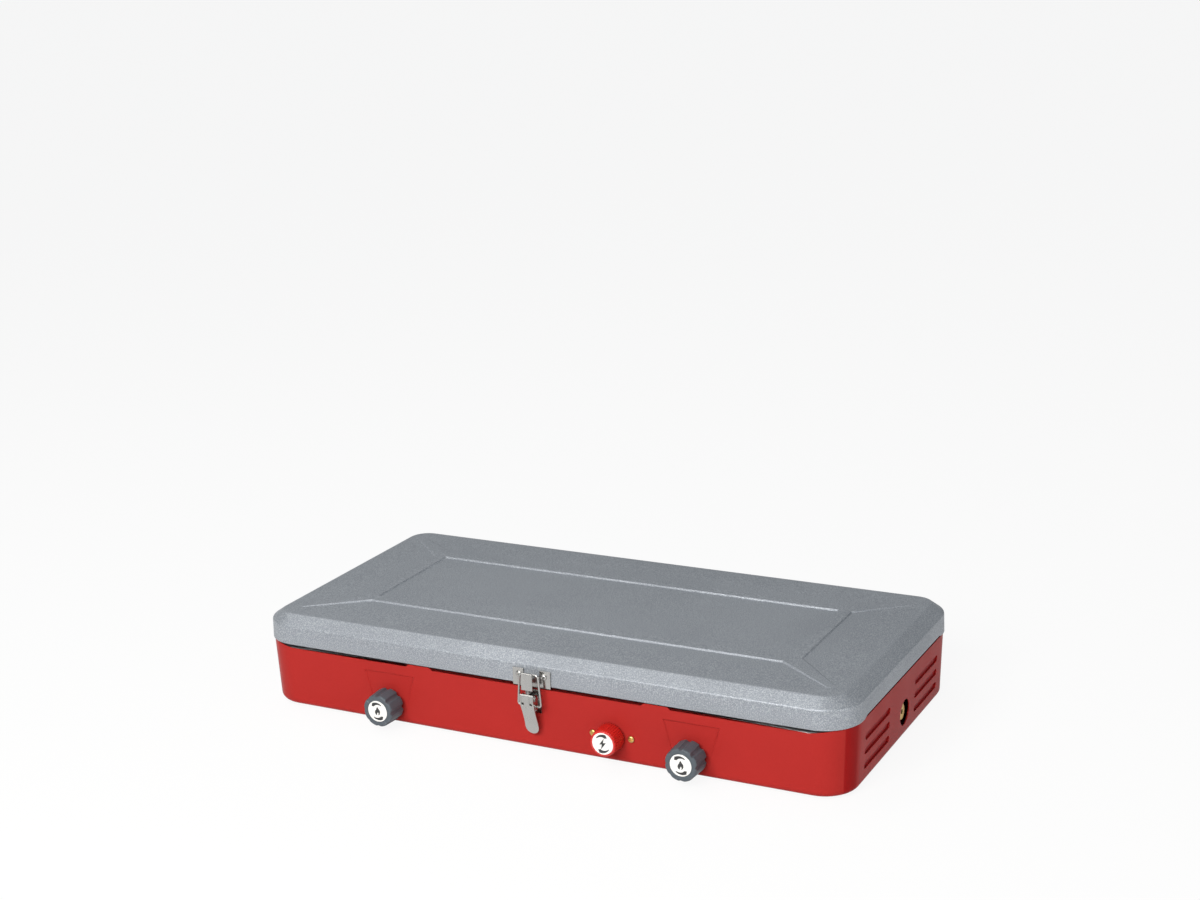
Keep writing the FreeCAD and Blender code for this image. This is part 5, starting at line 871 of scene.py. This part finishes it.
def crease_arms(data, step, drop):
    """Cut the lid's mesh along the edges of the diagonal arms, so that they are crisp."""
    mesh = bmesh.new()
    mesh.from_mesh(data)
    corners = frame_corners()
    for first in range(0, len(corners), 4):
        ends = corners[first:first + 4]
        faces = [face for face in mesh.faces if in_arm(face, ends[1])]
        parts = list(dict.fromkeys(
            part for face in faces for part in (*face.verts, *face.edges, face)))
        for one, two in zip(ends, ends[1:]):
            run = Vector((two[0] - one[0], two[1] - one[1], 0)).normalized()
            across = Vector((-run.y, run.x, 0))
            for share in (-0.5, 0, 0.5):
                place = spot(*one, 0) + across * share * step / 1000
                cut = bmesh.ops.bisect_plane(
                    mesh, geom=parts, dist=1e-7, plane_co=place, plane_no=across)
                parts = cut["geom"]
    mesh.normal_update()
    top = list(dict.fromkeys(vert for face in mesh.faces if in_arm(face) for vert in face.verts))
    x = np.array([vert.co.x * 1000 for vert in top])
    y = np.array([vert.co.y * 1000 - SHIFT for vert in top])
    for vert, height in zip(top, lid_height(x, y, step, drop)):
        vert.co.z = height / 1000
    mesh.to_mesh(data)
    mesh.free()


def in_arm(face, end=None):
    """Whether a face is on the lid's top near an arm, and near the given one if there is one."""
    place = face.calc_center_median()
    x, y = place.x * 1000, place.y * 1000 - SHIFT
    if end and (x * end[0] < 0 or y * end[1] < 0):
        return False
    on_top = face.normal.z > 0.5 and place.z * 1000 > SHOULDER - 0.2
    margin = 4
    return (on_top and FRAME_X - BAND - margin < abs(x) < GRID_X - 0.1
            and FRAME_Y - BAND - margin < abs(y) < GRID_Y - 0.1)


class STOVE_OT_lid(StoveOperator, bpy.types.Operator):
    """Press the lid: skirt, bevel, crown and the raised frame, with a rolled edge and an inside"""

    bl_idname = "stove.lid"
    bl_label = "Lid"

    def execute(self, context):
        chosen = context.scene.stove_lid
        step, drop = chosen.step_width * 1000, chosen.panel_drop * 1000
        arch = chosen.end_arch * 1000
        xs = grid_lines(GRID_X, FRAME_X, step)
        ys = grid_lines(GRID_Y, FRAME_Y, step)
        grid_x, grid_y = np.meshgrid(xs, ys, indexing="ij")
        top = lid_height(grid_x, grid_y, step, drop)
        spots = []
        faces = []

        def lay_grid(height, flip):
            """The top or its underside; gives the points of its edge and their places."""
            start = len(spots)
            rows = len(ys)
            for i, x in enumerate(xs):
                spots.extend(spot(x, y, height[i, j]) for j, y in enumerate(ys))
            for i in range(len(xs) - 1):
                for j in range(rows - 1):
                    first = start + i * rows + j
                    face = (first, first + rows, first + rows + 1, first + 1)
                    faces.append(face[::-1] if flip else face)
            loop = [(i, 0) for i in range(len(xs) - 1)]
            loop += [(len(xs) - 1, j) for j in range(rows - 1)]
            loop += [(i, rows - 1) for i in range(len(xs) - 1, 0, -1)]
            loop += [(0, j) for j in range(rows - 1, 0, -1)]
            return [start + i * rows + j for i, j in loop], [(xs[i], ys[j]) for i, j in loop]

        def radius_at(inset):
            """The radius of the lid's corners some way inside its outline."""
            if inset <= SHOULDER_INSET:
                return LID_CORNER - inset * (LID_CORNER - SHOULDER_CORNER) / SHOULDER_INSET
            shrunk = (CORNER_END - inset) / (CORNER_END - SHOULDER_INSET)
            return max(0.01, SHOULDER_CORNER * shrunk)

        def lay_ring(edge, inset, z, below):
            """A ring of points at a height, or some way below the lid's top."""
            start = len(spots)
            outline = (LID_X - inset, LID_Y - inset, radius_at(inset))
            for place in edge:
                x, y = on_rounded(*place, *outline)
                if below is not None:
                    height = float(lid_height(np.array([x]), np.array([y]), step, drop)[0]) - below
                elif z < LID_EDGE + 3 and abs(x) > ARCH_FROM:
                    height = z + arch * float(ease((ARCH_END - abs(y)) / ARCH_RUN))
                else:
                    height = z
                spots.append(spot(x, y, height))
            return list(range(start, start + len(edge)))

        def bridge(one, two):
            """Faces between two rings of points."""
            for index in range(len(one)):
                after = (index + 1) % len(one)
                faces.append((one[index], two[index], two[after], one[after]))

        loop, edge = lay_grid(top, False)
        top_inset = TOP_INSETS[-1]
        rise = (top_inset - SHOULDER_INSET) / (LID_X - SHOULDER_INSET - FRAME_X)
        crown = SHOULDER + (CROWN - drop) * rise
        bend = chosen.shoulder_round * 1000
        outside = rounded_path([
            (top_inset, crown, 0), (SHOULDER_INSET, SHOULDER, bend),
            (CREASE_INSET, CREASE, chosen.crease_round * 1000),
            (0.0, LID_EDGE, 0.55), (1.2, LID_EDGE, 0),
        ], 6)
        inside = rounded_path([
            (1.2, LID_EDGE, 0), (2.2, LID_EDGE, 0.5), (2.2, LID_EDGE + 4, 0.4),
            (1.0, LID_EDGE + 4, 0.3), (1.4, CREASE - 0.5, 1.8),
            (SHOULDER_INSET + SHEET, SHOULDER - SHEET, bend - SHEET),
            (top_inset, crown - SHEET, 0),
        ], 4)
        rings = [(inset, None, 0.0) for inset in TOP_INSETS]
        rings += [(inset, z, None) for inset, z in outside[1:] + inside[1:-1]]
        rings += [(inset, None, SHEET) for inset in reversed(TOP_INSETS)]
        last = loop
        for ring in rings:
            laid = lay_ring(edge, *ring)
            bridge(last, laid)
            last = laid
        under, _ = lay_grid(top - SHEET, True)
        bridge(last, under)
        data = mesh_of("lid_pressing", spots, faces)
        crease_arms(data, step, drop)
        lid = finished("lid_pressing", data, "lid_powder_coat", 50)
        settle(lid, "lid", "lid_powder_coat", "lid_shell")
        return {"FINISHED"}


class STOVE_OT_base(StoveOperator, bpy.types.Operator):
    """Round the pressed edges of the base and its tray"""

    bl_idname = "stove.base"
    bl_label = "Base"

    def execute(self, context):
        chosen = context.scene.stove_base
        pressing = softened("base_pressing", "base_shell", chosen.edge_round, 3,
                            rounder=beside_recess, wider=chosen.recess_round)
        settle(pressing, "base", "red_enamel", "base_shell")
        tray = softened("tray_pressing", "drip_tray", TRAY_ROUND, 2, move=widened)
        settle(tray, "base", SLOTS["drip_tray"], "drip_tray")
        return {"FINISHED"}


def beside_recess(place):
    """Whether an edge borders a knob's recess on the front."""
    across, rise = abs(place.x) - KNOB_X, place.z - KNOB_Z
    near = abs(across) < RECESS_HALF and RECESS_LOW < place.z < RECESS_HIGH
    return place.y < FRONT and near and math.hypot(across, rise) > RECESS_CLEAR


def widened(place):
    """A point of the tray, its flat edge drawn out towards the rim and settled beside it."""
    x, y, z = place.x * 1000, place.y * 1000 - SHIFT, place.z * 1000
    shift = Vector((
        math.copysign(TRAY_OUT, x) if abs(x) > TRAY_X else 0.0,
        math.copysign(TRAY_OUT, y) if abs(y) > TRAY_Y else 0.0,
        TRAY_DOWN if z > TRAY_Z else 0.0))
    return place + shift / 1000


# Knobs.


def fluted(soft):
    """A shape for lathe() that presses eight flutes into a knob's side."""

    def shape(radius, height, angle):
        if radius < FLUTE_FROM - FLUTE:
            return radius
        turn = (angle + math.pi / 8) % (math.pi / 4) - math.pi / 8
        cross = FLUTE_FROM * math.sin(turn)
        if abs(cross) >= FLUTE:
            return radius
        flute = FLUTE_FROM * math.cos(turn) - math.sqrt(FLUTE ** 2 - cross ** 2)
        return soft_min(radius, flute, soft)

    return shape


def band_of(places, widths):
    """A flat strip along places, as points and faces in a plane."""
    spots = []
    for index, place in enumerate(places):
        before = places[max(index - 1, 0)]
        after = places[min(index + 1, len(places) - 1)]
        way = (after - before).normalized()
        side = Vector((-way.y, way.x)) * widths[index] / 2
        spots += [place + side, place - side]
    faces = [(2 * i, 2 * i + 1, 2 * i + 3, 2 * i + 2) for i in range(len(places) - 1)]
    return spots, faces


def disc_piece(name, place, back_round, dome):
    """A knob's white disc, whose face rises only a little within the radius dome."""
    face = rounded_path([
        (0.0, 0.0, 0), (9.25, 0.0, back_round), (9.25, 0.7, 0.25), (dome, 0.72, 0), (0.0, 0.74, 0),
    ], 4)
    profile = [tuple(point) for point in face]
    return turned_piece(name, profile, "white_plastic", place, "front", 96)


def disc_print(name, centre, figure, body, turn=1, start=54):
    """Flat printing on a knob's white disc: two turning arrows and a small figure.

    turn is the way the arrows go, and start the angle of the first one's tail, in degrees.
    """
    steps, sweep, reach, tip_turn = 16, 70, 6.75, 0.34
    flat = []
    faces = []

    def lay(spots, shapes):
        """Add one shape's points and faces."""
        first = len(flat)
        flat.extend(spots)
        faces.extend(tuple(first + index for index in shape) for shape in shapes)

    for half in (0.0, math.pi):
        shares = [step / steps for step in range(steps + 1)]
        angles = [half + turn * math.radians(start + sweep * share) for share in shares]
        places = [Vector((math.cos(angle), math.sin(angle))) * reach for angle in angles]
        lay(*band_of(places, [0.7 + 2.2 * share for share in shares]))
        end = angles[-1]
        tip = Vector((math.cos(end + turn * tip_turn), math.sin(end + turn * tip_turn))) * 6.7
        inner, outer = (Vector((math.cos(end), math.sin(end))) * side for side in (4.9, 8.6))
        lay([inner, tip, outer], [(0, 1, 2)])
    lay(figure, [tuple(range(len(figure)))])
    x, y, z = centre
    spots = [spot(x + place.x, y, z + place.y) for place in flat]
    piece = placed(name, rewound(mesh_of(name, spots, faces)))
    thick = piece.modifiers.new("Thickness", "SOLIDIFY")
    thick.thickness = 0.00006
    thick.offset = 0
    return settle(evaluated(name, piece, "black_plastic"), body, "black_plastic")


FLAME = [Vector(place) for place in (
    (0.0, 4.1), (1.1, 2.4), (2.4, 0.8), (2.6, -1.0), (1.9, -2.6), (0.5, -3.5), (1.1, -2.0),
    (0.4, -0.8), (-0.5, -1.9), (-0.5, -3.5), (-1.9, -2.8), (-2.6, -1.1), (-2.1, 0.6), (-1.3, 1.3),
    (-0.9, 2.6))]
SPARK = [Vector(place) for place in (
    (1.2, 4.6), (-3.0, -0.9), (-0.7, -0.6), (-1.5, -4.9), (3.0, 1.0), (0.5, 0.8))]


class STOVE_OT_knobs(StoveOperator, bpy.types.Operator):
    """Mould the two burner knobs with their flutes, discs and printing"""

    bl_idname = "stove.knobs"
    bl_label = "Burner knobs"

    def execute(self, context):
        soft = context.scene.stove_knobs.flute_soft * 1000
        low, high = (corner * 1000 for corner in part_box("knob_left"))
        back, front = high.y - SHIFT, low.y - SHIFT
        profile = rounded_path([
            (0.0, 17.1, 0), (9.35, 17.1, 0.15), (9.35, 18.0, 0.2), (12.9, 18.0, 0.6),
            (13.8, 16.9, 0.7), (14.4, 3.0, 6.0), (14.4, 0.0, 0.5), (10.8, 0.0, 0.4),
            (9.8, 9.0, 0.6), (5.6, 9.0, 0.3), (5.6, 3.0, 0.3), (3.2, 3.0, 0), (0.0, 3.0, 0)], 4)
        spacing = 2.5
        spaced = []
        for one, two in zip(profile, profile[1:]):
            steps = max(1, round((two - one).length / spacing))
            spaced += [tuple(one.lerp(two, step / steps)) for step in range(steps)]
        spaced.append(tuple(profile[-1]))
        for tag in ("left", "right"):
            body = f"knob_{tag}"
            x, _, z = JOINTS[f"{body}_turn"]
            knob = turned_piece(f"{body}_moulding", spaced, "slate_plastic",
                                spot(x, back, z), "front", 192, fluted(soft), 50)
            settle(knob, body, "slate_plastic", body)
            disc = disc_piece(f"{body}_disc", spot(x, front + DISC_SEAT, z), 0.15, 8.4)
            settle(disc, body, "white_plastic", f"knob_disc_{tag}")
            disc_print(f"{body}_print", (x, front + PRINT_SEAT, z), FLAME, body)
        return {"FINISHED"}


class STOVE_OT_igniter(StoveOperator, bpy.types.Operator):
    """Mould the igniter knob, its grip ribs, its disc and its printing"""

    bl_idname = "stove.igniter"
    bl_label = "Igniter knob"

    def execute(self, context):
        low, high = (corner * 1000 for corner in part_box("igniter_knob"))
        back, front = high.y - SHIFT, low.y - SHIFT
        x, _, z = JOINTS["igniter_turn"]
        length = back - front
        profile = rounded_path([
            (0.0, length - 0.9, 0), (9.35, length - 0.9, 0.15), (9.35, length, 0.2),
            (10.4, length, 0.5), (11.5, 1.0, 1.0), (11.5, 0.0, 0.4), (7.0, 0.0, 0),
            (0.0, 0.0, 0)], 4)
        knob = turned_piece("igniter_moulding", [tuple(place) for place in profile], "red_plastic",
                            spot(x, back, z), "front", 120)
        rib = bmesh.new()
        rows = []
        wide, blunt = 0.72, 0.25
        ends = (0.0, length - 0.5)
        for depth in (0.0, 0.5, length - 2.0, length - 0.9, length - 0.5):
            reach = 12.05 - 1.1 * depth / length - (0.5 if depth in ends else 0.0)
            inner = 11.2 - 1.0 * depth / length
            half = ((inner, wide), (reach - blunt, wide * 0.7), (reach, wide * 0.25))
            shape = [(across, -up) for across, up in half] + list(half[::-1])
            rows.append([rib.verts.new((across / 1000, -depth / 1000, up / 1000))
                         for across, up in shape])
        for one, two in zip(rows, rows[1:]):
            for index in range(len(one)):
                after = (index + 1) % len(one)
                rib.faces.new((one[index], one[after], two[after], two[index]))
        rib.faces.new(rows[0])
        rib.faces.new(rows[-1][::-1])
        bmesh.ops.recalc_face_normals(rib, faces=rib.faces)
        data = bpy.data.meshes.new("igniter_rib")
        rib.to_mesh(data)
        rib.free()
        item = placed("igniter_rib", data)
        axis = placed("rib_axis", mesh_of("rib_axis", [(0, 0, 0)]))
        ribs = grown("igniter_ribs", axis, "ring", {
            "Item": item, "Count": context.scene.stove_knobs.rib_count,
            "Centre": tuple(spot(x, back, z))}, "red_plastic", 40)
        bpy.data.objects.remove(item)
        settle(knob, "igniter_knob", "red_plastic", "igniter_knob")
        settle(ribs, "igniter_knob", "red_plastic")
        disc = disc_piece("igniter_disc", spot(x, front + DISC_SEAT, z), 0.1, 8.6)
        settle(disc, "igniter_knob", "white_plastic", "igniter_disc_plate")
        disc_print("igniter_print", (x, front + PRINT_SEAT, z), SPARK, "igniter_knob", -1, -142)
        return {"FINISHED"}


# Stamped metal, wires and fasteners.


class STOVE_OT_stampings(StoveOperator, bpy.types.Operator):
    """Round the stamped edges of the latch and the hinges"""

    bl_idname = "stove.stampings"
    bl_label = "Latch and hinges"

    def execute(self, context):
        width = context.scene.stove_metal.edge_round
        rows = [("latch_lever", "latch_lever"), ("catch_plate", "lid"), ("latch_bracket", "base")]
        for tag in ("left", "right"):
            rows += [(f"hinge_base_leaf_{tag}", "base"), (f"hinge_lid_leaf_{tag}", "lid")]
        for node, body in rows:
            settle(softened(f"{node}_stamping", node, width), body, "nickel_plate", node)
        return {"FINISHED"}


class STOVE_OT_wires(StoveOperator, bpy.types.Operator):
    """Bend the latch's bail and the wires of the pan grate"""

    bl_idname = "stove.wires"
    bl_label = "Wires"

    def execute(self, context):
        _, y, z = JOINTS["latch_bail_swing"]
        places = [spot(x, y - SHIFT, z + rise) for x, rise in (
            (-5.0, 0), (-10.4, 0), (-8.3, 26.5), (8.3, 26.5), (10.4, 0), (5.0, 0))]
        bail = grown("latch_bail_wire", path_object("bail_path", [(places, False)]), "wire", {
            "Wire radius": 0.001, "Bend radius": 0.0022, "Sides": 20}, "nickel_plate", 50)
        settle(bail, "latch_bail", "nickel_plate", "latch_bail")

        low, high = (corner * 1000 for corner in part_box("pan_grate"))
        wire, rod = 2.5, 2.0
        reach, depth = high.x - wire, (high.y - low.y) / 2 - wire
        level, top = low.z + wire, high.z - rod
        hoop = [spot(side * reach, row * depth, level) for side, row in CORNERS]
        edge = grown("grate_edge", path_object("edge_path", [(hoop, True)]), "wire", {
            "Wire radius": wire / 1000, "Bend radius": 0.0244, "Sides": 14}, "chrome_wire", 50)
        count, pitch, foot, shoulder = 10, 278 / 6, 114, 104
        half = (count - 1) / 2
        side = [(depth, level), (foot, level), (shoulder, top)]
        across = [(-y, z) for y, z in side] + side[::-1]
        rods = [([spot((index - half) * pitch, y, z) for y, z in across], False)
                for index in range(count)]
        end, under = half * pitch + 2 * rod, top - 2 * rod + 0.25
        for row in (-60, 60):
            rods.append(([spot(-end, row, under), spot(end, row, under)], False))
        bars = grown("grate_rods", path_object("rod_paths", rods), "wire", {
            "Wire radius": rod / 1000, "Bend radius": 0.006, "Sides": 12}, "chrome_wire", 50)
        settle(edge, "base", "chrome_wire", "pan_grate")
        settle(bars, "base", "chrome_wire", "pan_grate")
        return {"FINISHED"}


def rivet_profile(head, rise, shank, grip, upset):
    """A tubular rivet: domed head with a dimple, shank and upset end."""
    dome = ((0, 0.35), (0.26, 0.35), (0.34, 0.9), (0.5, 1), (0.75, 0.84), (0.93, 0.5), (1, 0.16),
            (1, 0))
    end = -grip - rise * 0.5
    return [(head * across, rise * up) for across, up in dome] + [
        (shank, 0.0), (shank, -grip), (upset, -grip), (upset * 0.9, end), (0.0, end)]


def screw_profile(head, rise, shank, grip):
    """A pan-head screw, before its cross is pressed in."""
    dome = ((0, 1), (0.55, 0.97), (0.82, 0.8), (0.96, 0.5), (1, 0.15), (1, 0))
    return [(head * across, rise * up) for across, up in dome] + [
        (shank, 0.0), (shank, -grip), (0.0, -grip)]


def fastener_item(name, profile, around=24):
    """A fastener in metres about the origin, for a tree to repeat."""
    spots, faces = lathe(profile, around)
    data = rewound(mesh_of(name, [point / 1000 for point in spots], faces))
    data.shade_smooth()
    return placed(name, data)


def cross_cut(item, head, rise):
    """Press a cross recess into a screw head."""
    mesh = bmesh.new()
    for turn in (0.0, math.pi / 2):
        size = Matrix.Diagonal((head * 1.15 / 1000, head * 0.26 / 1000, rise * 1.1 / 1000, 1))
        place = Matrix.Translation((0, 0, rise / 1000)) @ Matrix.Rotation(turn, 4, "Z") @ size
        bmesh.ops.create_cube(mesh, size=1, matrix=place)
    data = bpy.data.meshes.new("cross")
    mesh.to_mesh(data)
    mesh.free()
    tool = placed("cross", data)
    cut = item.modifiers.new("Cross", "BOOLEAN")
    cut.object = tool
    cut.operation = "DIFFERENCE"
    cut.use_self = True
    depsgraph = bpy.context.evaluated_depsgraph_get()
    depsgraph.update()
    data = bpy.data.meshes.new_from_object(item.evaluated_get(depsgraph))
    item.modifiers.clear()
    item.data = data
    bpy.data.objects.remove(tool)
    return item


class STOVE_OT_fasteners(StoveOperator, bpy.types.Operator):
    """Set the rivets and the screws"""

    bl_idname = "stove.fasteners"
    bl_label = "Rivets and screws"

    def execute(self, context):
        seed = context.scene.stove_metal.seed
        quarter = math.pi / 2
        facing = {"front": (quarter, 0, 0), "back": (-quarter, 0, 0), "down": (math.pi, 0, 0)}
        rows = (
            ("floor_rivets", "base", "down", "rivet"),
            ("catch_rivets", "lid", "front", "rivet"),
            ("latch_rivets", "base", "front", "rivet"),
            ("hinge_lid_rivets", "lid", "back", "rivet"),
            ("hinge_base_rivets", "base", "back", "rivet"),
            ("igniter_screws", "base", "front", "screw"),
            ("burner_screws", "base", "down", "screw"),
        )
        head, rise, shank, upset = 2.8, 1.4, 1.5, 2.3
        for node, body, way, kind in rows:
            boxes = solid_boxes(node)
            low, high = boxes[0]
            axis = 2 if way == "down" else 1
            length = (high[axis] - low[axis]) * 1000
            if kind == "rivet":
                profile = rivet_profile(head, rise, shank, length - 1.5 * rise, upset)
            else:
                profile = screw_profile(head, rise, shank, length - rise)
            item = fastener_item(f"{node}_item", profile)
            if kind == "screw":
                cross_cut(item, head, rise)
            places = []
            for low, high in boxes:
                middle = (low + high) / 2
                middle[axis] = high.y - rise / 1000 if way == "back" else low[axis] + rise / 1000
                places.append(middle)
            seats = placed(f"{node}_points", mesh_of(f"{node}_points", places))
            piece = grown(f"{node}_set", seats, "fasteners", {
                "Fastener": item, "Facing": facing[way], "Loose turn": 3.14, "Seed": seed,
            }, SLOTS[node])
            bpy.data.objects.remove(item)
            settle(piece, body, SLOTS[node], node)
        return {"FINISHED"}


# The stage.


def seen_share(tree, mirrored):
    """1 for what the camera sees straight or through clear things, mirrored for a reflection."""
    rays = add(tree, "ShaderNodeLightPath").outputs
    straight = maths(tree, "MAXIMUM", rays["Is Camera Ray"], rays["Is Transmission Ray"])
    reflected = maths(tree, "MULTIPLY", rays["Is Glossy Ray"], mirrored)
    return maths(tree, "MAXIMUM", straight, reflected)


class STOVE_OT_stage(StoveOperator, bpy.types.Operator):
    """Lay the floor, light the stove and stand the camera where the photograph was taken"""

    bl_idname = "stove.stage"
    bl_label = "Stage"

    def execute(self, context):
        chosen = context.scene.stove_stage
        scene = context.scene
        scene.view_settings.view_transform = "Standard"
        reach = 30
        corners = [(side * reach, row * reach, 0) for side, row in CORNERS]
        ground = placed("floor", mesh_of("floor", corners, [(0, 1, 2, 3)]))
        paint = bpy.data.materials.new("floor_paper")
        paint.use_nodes = True
        tree = paint.node_tree
        tree.nodes.clear()
        matt = add(tree, "ShaderNodeBsdfDiffuse", {"Color": (0.85, 0.85, 0.85, 1)})
        glow = add(tree, "ShaderNodeEmission", {"Color": (1, 1, 1, 1), "Strength": 1})
        share = maths(tree, "MULTIPLY", seen_share(tree, 1.0), 0.91)
        both = add(tree, "ShaderNodeMixShader", {0: share, 1: matt.outputs[0], 2: glow.outputs[0]})
        tree.links.new(both.outputs[0], add(tree, "ShaderNodeOutputMaterial").inputs[0])
        ground.data.materials.append(paint)

        world = bpy.data.worlds.new("studio")
        scene.world = world
        world.use_nodes = True
        tree = world.node_tree
        tree.nodes.clear()
        even = add(tree, "ShaderNodeBackground", {
            "Color": (0.74, 0.87, 1, 1), "Strength": chosen.fill})
        white = add(tree, "ShaderNodeBackground", {"Color": (1, 1, 1, 1), "Strength": 1})
        both = add(tree, "ShaderNodeMixShader", {
            0: seen_share(tree, 0.35), 1: even.outputs[0], 2: white.outputs[0]})
        tree.links.new(both.outputs[0], add(tree, "ShaderNodeOutputWorld").inputs[0])

        for name, place, aim, width, share in LAMPS:
            lamp = bpy.data.lights.new(name, "AREA")
            lamp.shape = "RECTANGLE"
            lamp.size = width
            lamp.size_y = width * 0.6
            lamp.energy = chosen.key_power * share
            lamp.color = (1.0, 0.975, 0.94)
            holder = placed(name, lamp)
            holder.location = place
            ahead = Vector(aim) - Vector(place)
            holder.rotation_euler = ahead.to_track_quat("-Z", "Y").to_euler()

        data = bpy.data.cameras.new("camera")
        data.lens = chosen.lens
        data.sensor_width = 36.0
        data.clip_end = 50.0
        camera = placed("camera", data)
        camera.location = spot(*CAMERA)
        turn = Matrix.Identity(3)
        for angle, axis in CAMERA_TURNS:
            turn = turn @ Matrix.Rotation(math.radians(angle), 3, axis)
        camera.rotation_euler = turn.to_euler()
        scene.camera = camera
        return {"FINISHED"}


class STOVE_PT_panel(bpy.types.Panel):
    """The stove's makers and their settings."""

    bl_idname = "STOVE_PT_panel"
    bl_label = "Camping stove"
    bl_space_type = "VIEW_3D"
    bl_region_type = "UI"
    bl_category = "Stove"

    def draw(self, context):
        for maker in MAKERS:
            self.layout.operator(maker.bl_idname)
        for name in SETTINGS:
            box = self.layout.box()
            box.label(text=name.replace("_", " ").capitalize())
            chosen = getattr(context.scene, name)
            for field in chosen.__annotations__:
                box.prop(chosen, field)


SETTINGS = {
    "stove_lid": StoveLidSettings,
    "stove_base": StoveBaseSettings,
    "stove_knobs": StoveKnobSettings,
    "stove_metal": StoveMetalSettings,
    "stove_stage": StoveStageSettings,
}
MAKERS = (
    STOVE_OT_finishes, STOVE_OT_lid, STOVE_OT_base, STOVE_OT_knobs, STOVE_OT_igniter,
    STOVE_OT_stampings, STOVE_OT_wires, STOVE_OT_fasteners, STOVE_OT_stage,
)


def register():
    """Make the add-on's settings, makers and panel known."""
    for name, group in SETTINGS.items():
        bpy.utils.register_class(group)
        setattr(bpy.types.Scene, name, PointerProperty(type=group))
    for maker in MAKERS:
        bpy.utils.register_class(maker)
    bpy.utils.register_class(STOVE_PT_panel)


def unregister():
    """Take back what register() made known."""
    bpy.utils.unregister_class(STOVE_PT_panel)
    for maker in reversed(MAKERS):
        bpy.utils.unregister_class(maker)
    for name, group in SETTINGS.items():
        delattr(bpy.types.Scene, name)
        bpy.utils.unregister_class(group)


def main():
    """Run every maker in turn."""
    register()
    for maker in MAKERS:
        family, action = maker.bl_idname.split(".")
        if getattr(getattr(bpy.ops, family), action)() != {"FINISHED"}:
            raise RuntimeError(f"{maker.bl_label} did not finish")


if __name__ == "__main__":
    main()
